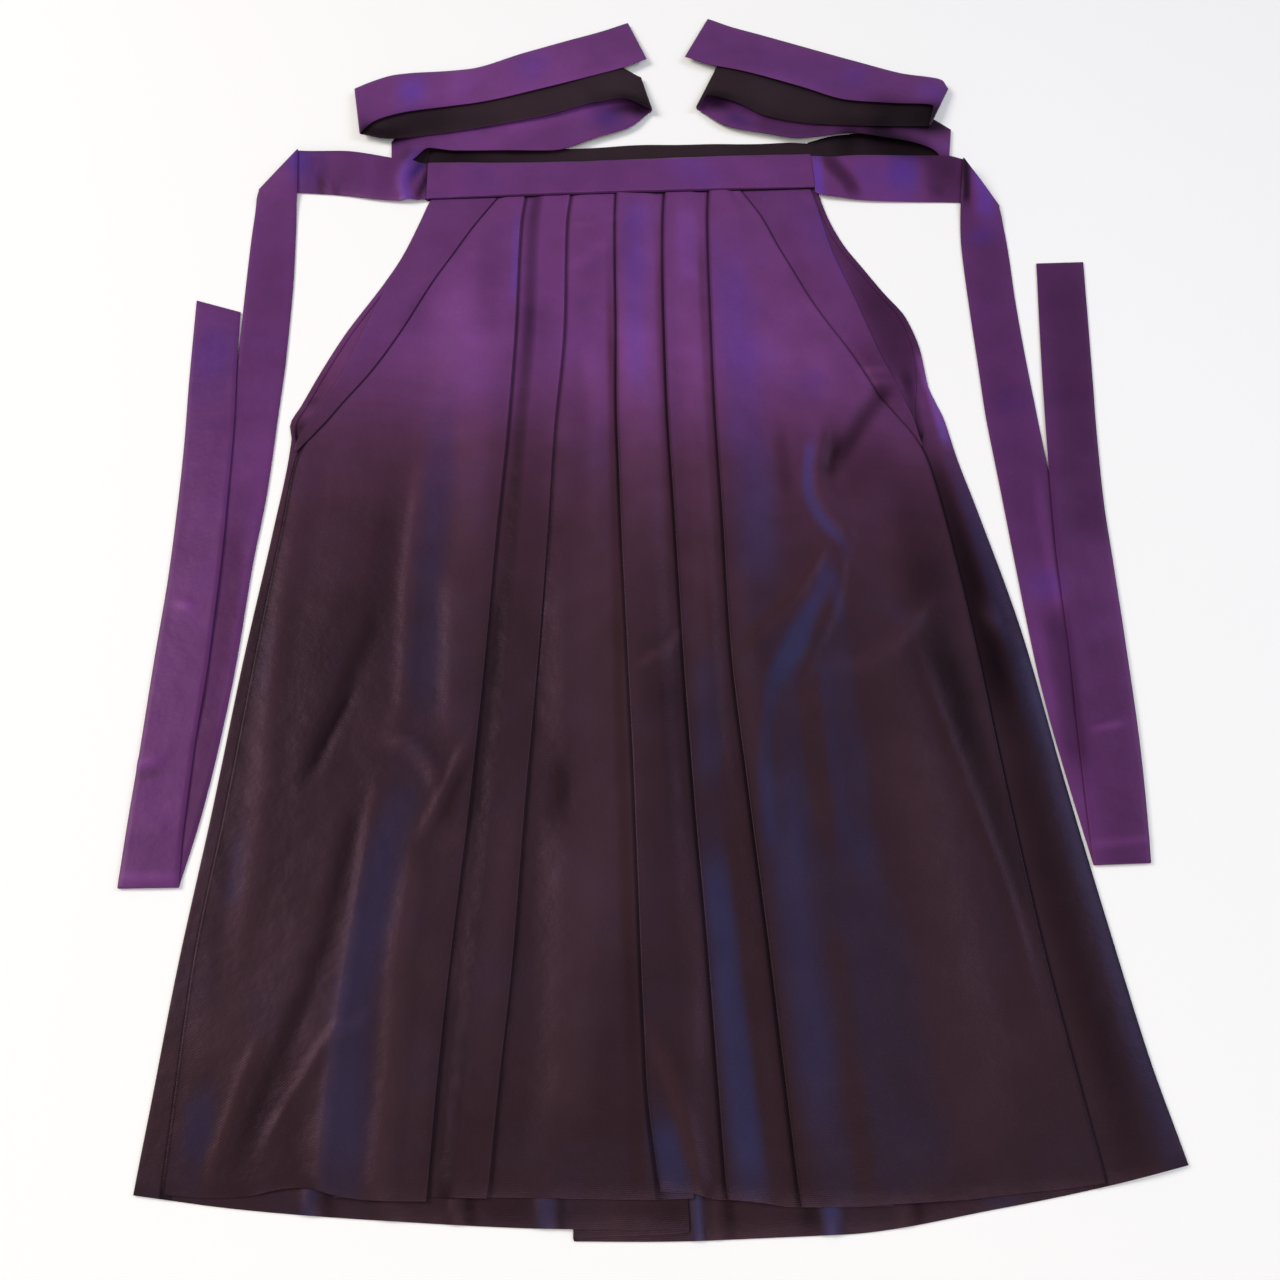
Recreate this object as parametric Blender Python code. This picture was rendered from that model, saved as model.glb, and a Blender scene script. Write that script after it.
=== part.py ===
"""Hakama trousers laid flat with the front up, and the ties folded beside and above them.

The tables are in millimetres, measured from the middle of the front waist seam: x to the right,
y towards the waistband, z up from the surface. The pleated front lies on the back, whose cloth
wraps round both sides to the side seams. Every wall is a grid of centre points, thickened.
"""

from collections import namedtuple
from math import cos, hypot, pi, sin

import bpy

# Driving dimensions, in millimetres
WAIST_TO_HEM = 870
FRONT_WAIST = 368
CLOTH = 1.0
GAP = 0.3
TIE_CLOTH = 1.2
FRONT_BAND_HEIGHT = 42
BACK_BAND_HEIGHT = 62
FRONT_BAND_TOP_AT_ENDS = 5.4
FRONT_BAND_CROWN = 2.4

# Levels of the wall's middle above the surface
LAYER = CLOTH + GAP
FLOOR_LAYER = CLOTH / 2
WRAP_LAYER = FLOOR_LAYER + LAYER
FRONT_LAYER = WRAP_LAYER
PLEAT_RISE = 2 * LAYER
BACK_PLEAT_RISE = 2 * LAYER
TIE_FLOOR = TIE_CLOTH / 2

HALF_WAIST = FRONT_WAIST / 2
HEM = WAIST_TO_HEM - 2
STATIONS = (0, 35, 70, 100, 130, 160, 200, 235, 255, 270, 285, 310, 360, 480, 600, 720, 800, HEM)

# Side edges at each distance down from the waist seam, left half and right half.
# leaf: outer edge of the side fold; line: the fold's slanting line, then the side seam;
# back: outer edge of the back; wrap: how far the back's cloth lies on itself.
Side = namedtuple("Side", "down leaf line back wrap")
LEFT_SIDE = [
    Side(0, -180, -117, -181.5, 5),
    Side(35, -191, -139, -192.5, 5),
    Side(70, -203.5, -158, -205, 5),
    Side(100, -216, -174.5, -219.5, 5),
    Side(160, -237, -203, -252.5, 5),
    Side(200, -251, -225, -270.5, 5),
    Side(235, -267.5, -249, -284.5, 5),
    Side(255, -276, -262, -292.5, 5),
    Side(270, -285, -283, -290, 5),
    Side(285, -287, -285, -290.5, 11.5),
    Side(360, -292, -290.5, -297.5, 13),
    Side(480, -303, -301.5, -310.5, 15),
    Side(600, -313, -311.5, -321, 15.5),
    Side(720, -323, -322, -333, 17),
    Side(HEM, -326, -325, -343, 24),
]
RIGHT_SIDE = [
    Side(0, 181, 114.5, 186.5, 3),
    Side(35, 186.5, 131.5, 193, 4),
    Side(70, 191.5, 143, 204, 5),
    Side(100, 198, 154, 219, 5),
    Side(130, 206, 165, 234.5, 5),
    Side(160, 213, 178, 251, 5),
    Side(200, 222.5, 197, 258.8, 6),
    Side(235, 233.5, 211, 260, 9.5),
    Side(255, 238.5, 221, 264.5, 18),
    Side(270, 242.5, 229.5, 268.5, 23),
    Side(285, 244.5, 238.5, 270.5, 24.5),
    Side(310, 249, 247.5, 273.5, 34),
    Side(360, 255, 253.5, 282, 36.5),
    Side(480, 263, 261.5, 300, 46.5),
    Side(600, 267, 265.5, 310, 52.5),
    Side(720, 273, 271.5, 321.5, 58),
    Side(800, 279.5, 278, 330, 60),
    Side(HEM, 286.5, 285, 340.5, 63.5),
]
FOLD_UNDERLAP = {"left": 12, "right": 14}
LEAF_END = {"left": 262, "right": 285}

# Front pleats: the x of each fold edge, and how deep its hidden cloth goes
Pleats = namedtuple("Pleats", "down e1 e2 e3 e4 e5 d1 d2 d3 d4 d5")
FRONT_PLEATS = [
    Pleats(0, -92, -49, -4, 42, 84, 14, 22, 22, 20, 14),
    Pleats(35, -96, -53, -6, 39, 81, 24, 22, 22, 20, 24),
    Pleats(160, -100.5, -57, -9, 34, 76, 40, 22, 22, 20, 40),
    Pleats(270, -107, -66.5, -12, 32, 73, 45, 21, 22, 20, 45),
    Pleats(360, -114, -72, -12, 32.5, 72, 50, 21, 22, 20, 50),
    Pleats(480, -122, -80.5, -11, 32.5, 70, 55, 21, 22, 20, 55),
    Pleats(600, -132, -91, -10, 34, 74.5, 58, 21, 22, 21, 58),
    Pleats(720, -143.5, -100, -10, 37, 80, 60, 22, 23, 22, 60),
    Pleats(800, -150, -108.5, -9.5, 38, 83, 60, 21, 23, 24, 60),
    Pleats(HEM, -154, -115, -4, 39, 86, 60, 20, 22, 24, 60),
]

# Back centre pleat: its two folds, seen through from the front
BackPleat = namedtuple("BackPleat", "down left right")
BACK_PLEAT = [BackPleat(0, -24, -8), BackPleat(360, -44, 2), BackPleat(HEM, -60, 14)]

# Hem lines: distance down from the waist seam at each x. Right of its pleat the back is lower.
Hem = namedtuple("Hem", "x front back")
HEM_LINE = [
    Hem(-343, 855, 856),
    Hem(-274, 860, 867),
    Hem(-184, 865, 877),
    Hem(-60, 871, 887),
    Hem(30, 875, 890),
    Hem(110, 880, 890),
    Hem(214, 881, 879),
    Hem(287, 875, 868.5),
    Hem(343, 864, 858),
]
BACK_PLEAT_DROP = 7

# Ties, along their length. a is the edge nearer the hem or farther from the body, b the other.
# A row whose stretch starts a new name lies on the row before it, joined by a round fold.
Row = namedtuple("Row", "stretch ax ay az bx by bz")
FRONT_TIE_LEFT = [
    Row("across", -184.4, 0.5, 3.2, -184.4, 42, 3.8),
    Row("across", -204, -1, 3, -204, 45.5, 6.5),
    Row("across", -228, 2, 2.4, -226, 51, 9),
    Row("across", -267, 10.5, 0.9, -266, 56.5, 12),
    Row("across", -309, 15.5, 0.7, -296, 57.5, 12),
    Row("across", -344.5, 18.5, 0.7, -308, 58.5, 12),
    Row("down", -344.5, 18.5, 2.3, -308, 58.5, 13.6),
    Row("down", -345.9, 8, 1.8, -308, 36, 8.4),
    Row("down", -346, -8, 0.6, -307.8, 10, 2.6),
    Row("down", -346.4, -45, 0.6, -305.5, -35, 0.6),
    Row("down", -345.8, -111, 0.6, -302.6, -111, 0.6),
    Row("down", -345, -180, 0.6, -302.2, -180, 0.6),
    Row("down", -346.5, -240, 0.6, -303.7, -240, 0.6),
    Row("down", -349, -320, 0.6, -306, -320, 0.6),
    Row("down", -355, -392, 0.6, -311.5, -392, 0.6),
    Row("down", -359, -475, 0.6, -315.5, -475, 0.6),
    Row("down", -365, -545, 0.6, -321.5, -545, 0.6),
    Row("down", -372, -601, 0.6, -328.6, -601, 0.6),
    Row("down", -382, -653, 0.6, -338.5, -654, 0.6),
    Row("up", -382, -653, 2.1, -338.5, -654, 2.1),
    Row("up", -381.6, -609, 2.1, -340, -612, 2.1),
    Row("up", -380.3, -549, 2.1, -339.5, -549, 2.4),
    Row("up", -379.5, -475, 1.7, -336.8, -475, 2.8),
    Row("up", -378, -400, 1.4, -336.6, -392, 2.8),
    Row("up", -379, -328, 1.2, -338.5, -305, 2.6),
    Row("up", -381, -270, 1.0, -340, -260, 2.4),
    Row("up", -384.5, -210, 0.8, -344.7, -184, 2.0),
    Row("up", -388.9, -113, 0.6, -347.6, -128.5, 0.8),
]
FRONT_TIE_RIGHT = [
    Row("across", 184.5, -6, 3.8, 184.5, 40.5, 4.2),
    Row("across", 189, -9.5, 3.8, 192, 37, 6.5),
    Row("across", 204, -13, 3.6, 208, 33.5, 9),
    Row("across", 235, -17.5, 2.0, 232, 32, 11),
    Row("across", 278, -20, 0.9, 278, 28.5, 12),
    Row("across", 320, -22, 0.7, 314, 27, 12),
    Row("across", 356.5, -30, 0.7, 328, 22, 12),
    Row("down", 356.5, -30, 2.3, 328, 22, 13.6),
    Row("down", 357, -44, 1.8, 325, 1, 8.8),
    Row("down", 357, -62, 0.6, 321, -24, 2.6),
    Row("down", 355.9, -92, 0.6, 314, -76, 0.6),
    Row("down", 352.5, -150, 0.6, 310, -150, 0.6),
    Row("down", 350.5, -215, 0.6, 307.5, -215, 0.6),
    Row("down", 349.5, -280, 0.6, 305.3, -280, 0.6),
    Row("down", 349, -345, 0.6, 305.5, -345, 0.6),
    Row("down", 349, -440, 0.6, 305.5, -440, 0.6),
    Row("down", 349.5, -500, 0.6, 306, -500, 0.6),
    Row("down", 350.5, -545, 0.6, 308, -545, 0.6),
    Row("down", 355, -600, 0.6, 312.5, -600, 0.6),
    Row("down", 360.5, -664, 0.6, 319, -664, 0.6),
    Row("up", 360.5, -664, 2.1, 319, -664, 2.1),
    Row("up", 366, -625, 2.1, 322, -625, 2.1),
    Row("up", 372, -575, 2.1, 327, -565, 2.3),
    Row("up", 379, -494, 1.7, 334, -492, 2.6),
    Row("up", 385, -414, 1.4, 339, -418, 2.8),
    Row("up", 388, -371, 1.2, 344.5, -365, 2.8),
    Row("up", 396, -300, 1.0, 351.5, -306, 2.2),
    Row("up", 406, -228, 0.8, 364, -212, 1.0),
    Row("up", 423.5, -100, 0.6, 380, -100, 0.6),
]
BACK_TIE_LEFT = [
    Row("root", -184.4, 1.5, 0.6, -184.4, 62, 0.6),
    Row("root", -200, 8, 0.6, -205, 68, 0.6),
    Row("root", -217.5, 18.5, 0.6, -220.5, 78.5, 0.6),
    Row("first", -217.5, 18.5, 2.1, -220.5, 78.5, 2.1),
    Row("first", -197, 50, 5, -212, 98, 2.6),
    Row("first", -184, 64, 6, -196, 118, 2.6),
    Row("first", -159, 60, 5.5, -172, 119, 2.6),
    Row("first", -112, 59, 5, -124, 117, 2.6),
    Row("first", -65, 57, 5, -79, 115, 2.4),
    Row("first", -21, 72.5, 5, -36, 130, 2.1),
    Row("first", 12, 86, 4.5, -2, 144, 2.1),
    Row("first", 31, 106, 3, 24, 156, 2.1),
    Row("second", 31, 106, 9, 24, 156, 4),
    Row("second", 5, 121, 9, -4, 174, 4.4),
    Row("second", -20, 118, 8, -34, 172, 4.2),
    Row("second", -72, 102, 7, -84, 161, 4),
    Row("second", -144, 87, 7, -155, 146, 4),
    Row("second", -192, 79.5, 7, -200, 139, 4),
    Row("second", -222, 77, 7, -228, 137, 4),
    Row("second", -250, 85, 6, -260, 149, 4),
    Row("third", -250, 85, 9, -260, 149, 5.8),
    Row("third", -239, 99, 8.6, -246, 157, 5.8),
    Row("third", -213, 110, 8.2, -220, 167, 5.6),
    Row("third", -133, 122.5, 8, -150, 172, 5.4),
    Row("third", -72, 140, 7.6, -94, 194, 4.6),
    Row("third", -30, 154, 7.2, -50, 211, 4),
    Row("third", 9, 168, 6.6, -10, 226, 3.4),
    Row("third", 32, 180, 5.8, 15, 238, 2.6),
]
BACK_TIE_RIGHT = [
    Row("root", 184.4, 1.5, 0.6, 184.4, 62, 0.6),
    Row("root", 250, 5, 0.6, 252, 66, 0.6),
    Row("root", 313.5, 14, 0.6, 325.5, 73, 0.6),
    Row("first", 313.5, 14, 3, 325.5, 73, 2.1),
    Row("first", 303, 33, 5, 310, 84, 2.4),
    Row("first", 285, 46, 6.3, 293, 99, 2.4),
    Row("first", 254, 60, 6.3, 268, 115, 2.4),
    Row("first", 221, 68, 6.3, 238, 124, 2.4),
    Row("first", 177, 62.5, 6, 196, 120, 2.4),
    Row("first", 144, 71, 5.5, 160, 129, 2.2),
    Row("first", 107, 83, 4.5, 120, 142, 2.1),
    Row("first", 81, 108, 2.6, 104, 168, 2.1),
    Row("second", 81, 108, 8.4, 104, 168, 4.2),
    Row("second", 90, 122, 8.4, 115, 171, 4.4),
    Row("second", 114, 114, 8, 134, 165, 4.2),
    Row("second", 146, 92, 7.6, 168, 147, 4),
    Row("second", 190, 79.5, 7.6, 208, 137, 4),
    Row("second", 247, 74.5, 7.6, 258, 133, 4),
    Row("second", 303, 72, 7.4, 330, 126, 4),
    Row("third", 303, 72, 10, 330, 126, 5.8),
    Row("third", 311, 97, 9.6, 327, 136, 5.8),
    Row("third", 268, 104, 9, 286, 149, 5.6),
    Row("third", 228, 110, 8.6, 254, 163, 5.4),
    Row("third", 184, 131, 8, 210, 184, 4.8),
    Row("third", 124, 158, 7.2, 148, 214, 3.8),
    Row("third", 94, 168.5, 6.6, 121, 227, 3.2),
    Row("third", 71, 182, 5.6, 98, 241, 2.6),
]

ARC_STEPS = 3
RAMP = 12


def between(table, at):
    """The table's row at the given first-column value, with straight lines between its rows."""
    for low, high in zip(table, table[1:]):
        if at <= high[0]:
            break
    share = (at - low[0]) / (high[0] - low[0])
    return type(low)(*(p + share * (q - p) for p, q in zip(low, high)))


def step(x, start, end):
    """0 before start, 1 after end, with a straight ramp between them."""
    return min(1, max(0, (x - start) / (end - start)))


def ordered(start, end, stops):
    """The stops kept in order between start and end, each a little apart from the next."""
    apart = (end - start) / (2 * len(stops) + 2)
    apart = max(-0.6, min(0.6, apart))
    kept = []
    for i, stop in enumerate(sorted(stops, reverse=end < start)):
        low, high = start + (i + 1) * apart, end - (len(stops) - i) * apart
        low, high = min(low, high), max(low, high)
        kept.append(min(high, max(low, stop)))
    return kept


class Section:
    """The middle line of a wall across the body, as (x, z, drop) points."""

    def __init__(self):
        self.points = []
        self.drop = 0

    def run(self, *points):
        self.points += [(x, z, self.drop) for x, z in points]

    def run_by(self, start, end, level, stops):
        """A level run with points at the stops that lie between start and end."""
        self.run(*[(x, level) for x in ordered(start, end, stops)])

    def run_evenly(self, start, end, level, count):
        """A level run with evenly spaced points between start and end."""
        for i in range(1, count + 1):
            self.run((start + (end - start) * i / (count + 1), level))

    def turn(self, x, low, high, outward):
        """A half-round fold whose outermost point is x, from level low to level high."""
        radius = abs(high - low) / 2
        middle = (low + high) / 2
        for i in range(ARC_STEPS + 1):
            angle = pi * i / ARC_STEPS
            reach = x - outward * radius * (1 - sin(angle))
            self.run((reach, middle + (low - middle) * cos(angle)))


def side_lines(down):
    left = between(LEFT_SIDE, down)
    right = between(RIGHT_SIDE, down)
    return left, right


def front_ride(x, down):
    """How much the front is lifted by what lies under it."""
    left, right = side_lines(down)
    pleat = between(BACK_PLEAT, down)
    on_pleat = step(x, pleat.left - 21, pleat.left - 9) - step(x, pleat.right + 3, pleat.right + 15)
    on_left = step(down, 255, 268) * (1 - step(x, left.line + 8, left.line + 8 + RAMP))
    on_right = step(x, right.line - 30, right.line - 17)
    return BACK_PLEAT_RISE * on_pleat + LAYER * (on_left + on_right)


def front_edges(down):
    """Left and right edge of the front's own wall. The left one is hidden under the side fold."""
    left, right = side_lines(down)
    hidden = max(left.line - FOLD_UNDERLAP["left"], left.back + left.wrap + 3)
    open_share = 1 - step(down, 255, 270)
    return left.line + open_share * (hidden - left.line), right.line


def front_section(down):
    """The front's wall: two pleats whose edges face right, then three that face left."""
    p = between(FRONT_PLEATS, down)
    side = side_lines(down)
    pleat = between(BACK_PLEAT, down)
    left, right = front_edges(down)
    rise = (pleat.left - 21, pleat.left - 9)
    fall = (pleat.right + 3, pleat.right + 15)
    line = Section()
    top, middle, low = PLEAT_RISE, LAYER, 0
    line.run((left, low))
    first = p.e1 - p.d1
    line.run_by(left, first - 10, low, (side[0].line + 8, side[0].line + 20, (left + first) / 2))
    line.run((first - 10, low), (first - 1.5, top))
    for edge, depth in ((p.e1, p.d1), (p.e2, p.d2)):
        line.turn(edge, top, middle, 1)
        line.turn(edge - depth, middle, low, -1)
        line.run((edge + 1, low))
        if edge == p.e1:
            second = p.e2 - p.d2
            line.run((second - 9, low), (second - 1.5, top))
    line.run_by(p.e2 + 1, p.e3 + p.d3 - 1, low, rise + fall)
    line.turn(p.e3 + p.d3, low, middle, 1)
    line.run_by(p.e3 + p.d3 - 1, p.e3 + 1, middle, fall)
    line.turn(p.e3, middle, top, -1)
    line.run_by(p.e3 + 1, p.e3 + p.d3 + 1, top, fall)
    for edge, depth, end in ((p.e3, p.d3, p.e4 - 2), (p.e4, p.d4, p.e5 - 2), (p.e5, p.d5, None)):
        line.run((edge + depth + 1.5, top), (edge + depth + 10, low))
        if end is None:
            break
        line.run((end, low))
        edge, depth = (p.e4, p.d4) if edge == p.e3 else (p.e5, p.d5)
        line.turn(edge + depth, low, middle, 1)
        line.turn(edge, middle, top, -1)
    last = p.e5 + p.d5 + 10
    line.run_by(last, right, low, ((last + right) / 2 - 10, right - 30, right - 17))
    line.run((right, low))
    return [(x, z + FRONT_LAYER + front_ride(x, down), drop) for x, z, drop in line.points]


def back_section(down):
    """The back's wall: strip, side fold, floor run, centre pleat, floor run, side fold, strip."""
    left, right = side_lines(down)
    pleat = between(BACK_PLEAT, down)
    line = Section()
    line.run((left.back + left.wrap, WRAP_LAYER))
    line.turn(left.back, WRAP_LAYER, FLOOR_LAYER, -1)
    line.run_evenly(left.back, pleat.left - 16, FLOOR_LAYER, 4)
    line.run((pleat.left - 16, FLOOR_LAYER))
    line.run((pleat.left - 4, FLOOR_LAYER + PLEAT_RISE))
    line.turn(pleat.right, FLOOR_LAYER + PLEAT_RISE, WRAP_LAYER, 1)
    line.drop = BACK_PLEAT_DROP
    line.turn(pleat.left, WRAP_LAYER, FLOOR_LAYER, -1)
    line.run_evenly(pleat.left, right.back, FLOOR_LAYER, 7)
    line.turn(right.back, FLOOR_LAYER, WRAP_LAYER, 1)
    line.run((right.back - right.wrap, WRAP_LAYER))
    return line.points


def hem_at(x, column):
    return getattr(between(HEM_LINE, min(343, max(-343, x))), column)


def body_rows(section, column):
    """The sections of one body panel, one at each station, ending on its hem line."""
    rows = []
    for down in STATIONS[:-1]:
        rows.append([(x, -max(down, GAP), z) for x, z, drop in section(down)])
    rows.append([(x, -hem_at(x, column) - drop, z) for x, z, drop in section(HEM)])
    return rows


def section_normals(rows):
    """Unit normals in the plane of each section."""
    normals = []
    for row in rows:
        found = []
        for j in range(len(row)):
            before = row[max(0, j - 1)]
            after = row[min(len(row) - 1, j + 1)]
            dx, dz = after[0] - before[0], after[2] - before[2]
            size = hypot(dx, dz)
            found.append((-dz / size, 0, dx / size))
        normals.append(found)
    return normals


def new_material(name, colour, roughness):
    material = bpy.data.materials.new(name)
    material.use_nodes = True
    shader = material.node_tree.nodes["Principled BSDF"]
    shader.inputs["Base Color"].default_value = (*colour, 1)
    shader.inputs["Roughness"].default_value = roughness
    shader.inputs["Metallic"].default_value = 0
    material.diffuse_color = (*colour, 1)
    return material


def new_object(name, points, faces, colour, roughness=0.45):
    """An object from points in millimetres, with its own material."""
    mesh = bpy.data.meshes.new(name)
    mesh.from_pydata([tuple(v / 1000 for v in point) for point in points], [], faces)
    mesh.validate()
    made = bpy.data.objects.new(name, mesh)
    bpy.context.scene.collection.objects.link(made)
    mesh.materials.append(new_material(name, colour, roughness))
    return made


def wall(name, rows, normals, thickness, colour):
    """A closed wall on a grid of middle points: its two faces, and a rim all round."""
    count = len(rows[0])
    points = []
    for side in (0.5, -0.5):
        for row, row_normals in zip(rows, normals):
            for point, normal in zip(row, row_normals):
                points.append([p + side * thickness * n for p, n in zip(point, normal)])
    under = len(rows) * count
    faces = []
    for i in range(len(rows) - 1):
        for j in range(count - 1):
            a, b = i * count + j, (i + 1) * count + j
            faces.append((a, b, b + 1, a + 1))
            faces.append((under + a, under + a + 1, under + b + 1, under + b))
        for j in (0, count - 1):
            a, b = i * count + j, (i + 1) * count + j
            rim = (a, under + a, under + b, b)
            faces.append(rim if j == 0 else rim[::-1])
    for i in (0, len(rows) - 1):
        for j in range(count - 1):
            a = i * count + j
            rim = (a, a + 1, under + a + 1, under + a)
            faces.append(rim if i == 0 else rim[::-1])
    return new_object(name, points, faces, colour)


def ribbon_rows(table):
    """Pairs of edge points along a tie, with a half-round of rows at each fold."""
    rows = []
    for index, row in enumerate(table):
        a, b = (row.ax, row.ay, row.az), (row.bx, row.by, row.bz)
        previous = table[index - 1]
        if index == 0 or row.stretch == previous.stretch:
            rows.append((a, b))
            continue
        before = table[index - 2]
        across = (row.bx - row.ax, row.by - row.ay)
        travel_x = previous.ax + previous.bx - before.ax - before.bx
        travel_y = previous.ay + previous.by - before.ay - before.by
        out = (across[1], -across[0])
        sign = 1 if out[0] * travel_x + out[1] * travel_y > 0 else -1
        out = [sign * v / hypot(*across) for v in out]
        for i in range(1, 2 * ARC_STEPS + 1):
            angle = pi * i / (2 * ARC_STEPS)
            pair = []
            for point, low in ((a, previous.az), (b, previous.bz)):
                radius = (point[2] - low) / 2
                reach = radius * sin(angle)
                level = low + radius * (1 - cos(angle))
                pair.append((point[0] + reach * out[0], point[1] + reach * out[1], level))
            rows.append(tuple(pair))
    return rows


def ribbon_normals(rows):
    """Normals of a ribbon: across its width and along its edge."""
    normals = []
    for i, row in enumerate(rows):
        before = rows[max(0, i - 1)]
        after = rows[min(len(rows) - 1, i + 1)]
        across = [q - p for p, q in zip(row[0], row[-1])]
        found = []
        for j in range(len(row)):
            along = [q - p for p, q in zip(before[j], after[j])]
            normal = (
                across[1] * along[2] - across[2] * along[1],
                across[2] * along[0] - across[0] * along[2],
                across[0] * along[1] - across[1] * along[0],
            )
            size = hypot(*normal)
            found.append(tuple(v / size for v in normal))
        normals.append(found)
    return normals


def build_tie(name, table, colour):
    rows = ribbon_rows(table)
    return wall(name, rows, ribbon_normals(rows), TIE_CLOTH, colour)


def build_body():
    colour = (0.09, 0.03, 0.10)
    back = body_rows(back_section, "back")
    wall("back_panel", back, section_normals(back), CLOTH, colour)
    front = body_rows(front_section, "front")
    wall("front_panel", front, section_normals(front), CLOTH, colour)


def build_side_fold(side):
    """The long fold beside the slanting line: over the front on the left, under it on the right."""
    table = LEFT_SIDE if side == "left" else RIGHT_SIDE
    inner = 0 if side == "left" else -FOLD_UNDERLAP["right"]
    rows = []
    downs = [down for down in STATIONS if down < LEAF_END[side]] + [LEAF_END[side]]
    for down in downs:
        place = between(table, down)
        if side == "left":
            level = FRONT_LAYER + LAYER * (1 + step(down, 250, 262))
            ends = (place.leaf, place.line)
        else:
            level = WRAP_LAYER
            ends = (place.line + inner, place.leaf)
        row = []
        for share in (0, 0.06, 0.5, 0.94, 1):
            row.append((ends[0] + share * (ends[1] - ends[0]), -max(down, GAP), level))
        rows.append(row)
    wall(f"front_side_fold_{side}", rows, section_normals(rows), CLOTH, (0.13, 0.035, 0.15))


def build_front_waistband():
    """A flat band with rounded long edges, thickest in the middle where it holds the pleats."""
    bottom = TIE_CLOTH + GAP
    points, faces = [], []
    columns = 12
    height = FRONT_BAND_HEIGHT
    ring = ((GAP, 0.3), (GAP, 0.75), (1.5, 1), (height - 1.5, 1))
    ring += ((height, 0.75), (height, 0.3), (height - 1, 0), (1.2, 0))
    for i in range(columns + 1):
        x = HALF_WAIST * (2 * i / columns - 1)
        top = FRONT_BAND_TOP_AT_ENDS + FRONT_BAND_CROWN * (1 - (x / HALF_WAIST) ** 2)
        for y, share in ring:
            points.append((x, y, bottom + share * (top - bottom)))
    count = len(ring)
    for i in range(columns):
        for j in range(count):
            a, b = i * count + j, i * count + (j + 1) % count
            faces.append((a, b, b + count, a + count))
    faces.append(tuple(range(count))[::-1])
    faces.append(tuple(columns * count + j for j in range(count)))
    new_object("front_waistband", points, faces, (0.16, 0.045, 0.19))


def build_back_waistband():
    """A flat band on the surface, under the front one, showing only beyond its upper edge."""
    rows = []
    for i in range(9):
        x = HALF_WAIST * (i / 4 - 1)
        rows.append([(x, y, TIE_FLOOR) for y in (0, 4, BACK_BAND_HEIGHT - 4, BACK_BAND_HEIGHT)])
    wall("back_waistband", rows, ribbon_normals(rows), TIE_CLOTH, (0.035, 0.017, 0.028))


def face_outward(made):
    """Turns a closed mesh's faces outward, judged by the sign of its volume."""
    mesh = made.data
    mesh.calc_loop_triangles()
    volume = 0
    for triangle in mesh.loop_triangles:
        a, b, c = (mesh.vertices[v].co for v in triangle.vertices)
        volume += a.dot(b.cross(c))
    if volume < 0:
        mesh.flip_normals()


def centre_on_base():
    """Moves the whole garment so that its origin is the middle of its box, on the surface."""
    garment = [made for made in bpy.data.objects if made.type == "MESH"]
    corners = [vertex.co for made in garment for vertex in made.data.vertices]
    middle = [(min(c[k] for c in corners) + max(c[k] for c in corners)) / 2 for k in (0, 1)]
    floor = min(c[2] for c in corners)
    for made in garment:
        for vertex in made.data.vertices:
            vertex.co.x -= middle[0]
            vertex.co.y -= middle[1]
            vertex.co.z -= floor


def main():
    for old in list(bpy.data.objects):
        bpy.data.objects.remove(old, do_unlink=True)
    build_body()
    build_side_fold("left")
    build_side_fold("right")
    build_front_waistband()
    build_back_waistband()
    purple = (0.15, 0.045, 0.19)
    build_tie("front_tie_left", FRONT_TIE_LEFT, purple)
    build_tie("front_tie_right", FRONT_TIE_RIGHT, purple)
    build_tie("back_tie_left", BACK_TIE_LEFT, purple)
    build_tie("back_tie_right", BACK_TIE_RIGHT, purple)
    for made in bpy.data.objects:
        face_outward(made)
    centre_on_base()


main()
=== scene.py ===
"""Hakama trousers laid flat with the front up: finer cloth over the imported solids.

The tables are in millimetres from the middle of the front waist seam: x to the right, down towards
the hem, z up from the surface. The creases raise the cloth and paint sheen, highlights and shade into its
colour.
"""

from collections import namedtuple
from math import cos, pi, radians, sin
from types import SimpleNamespace

import bpy
import numpy as np
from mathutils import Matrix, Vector


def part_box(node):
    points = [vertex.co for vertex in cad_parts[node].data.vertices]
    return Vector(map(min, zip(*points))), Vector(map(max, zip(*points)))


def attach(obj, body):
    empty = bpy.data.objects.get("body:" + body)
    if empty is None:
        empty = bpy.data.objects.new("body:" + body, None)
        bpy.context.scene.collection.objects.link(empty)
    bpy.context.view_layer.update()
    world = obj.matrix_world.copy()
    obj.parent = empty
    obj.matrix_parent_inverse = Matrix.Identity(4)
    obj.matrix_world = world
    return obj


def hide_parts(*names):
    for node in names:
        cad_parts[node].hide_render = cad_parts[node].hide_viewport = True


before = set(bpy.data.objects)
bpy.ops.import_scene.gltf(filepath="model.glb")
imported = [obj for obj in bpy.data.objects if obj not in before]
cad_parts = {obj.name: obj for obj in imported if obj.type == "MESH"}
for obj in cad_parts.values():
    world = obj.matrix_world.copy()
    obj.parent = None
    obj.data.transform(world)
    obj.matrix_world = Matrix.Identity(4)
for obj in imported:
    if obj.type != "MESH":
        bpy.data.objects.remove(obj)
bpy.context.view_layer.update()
band_low, band_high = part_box("front_waistband")
ORIGIN = ((band_low.x + band_high.x) / 2, band_low.y - 0.0003)

# Sizes that the solids have too: half the waist, the hem, the heights of the bands, how high the
# front band's top is at its ends, how much higher in the middle, and the middle of the lowest layer
HALF_WAIST = 184
HEM = 868
BAND_HEIGHT = 42
BACK_BAND_HEIGHT = 62
BAND_TOP_AT_ENDS = 5.4
BAND_CROWN = 2.4
FLOOR_LAYER = 0.5

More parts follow.
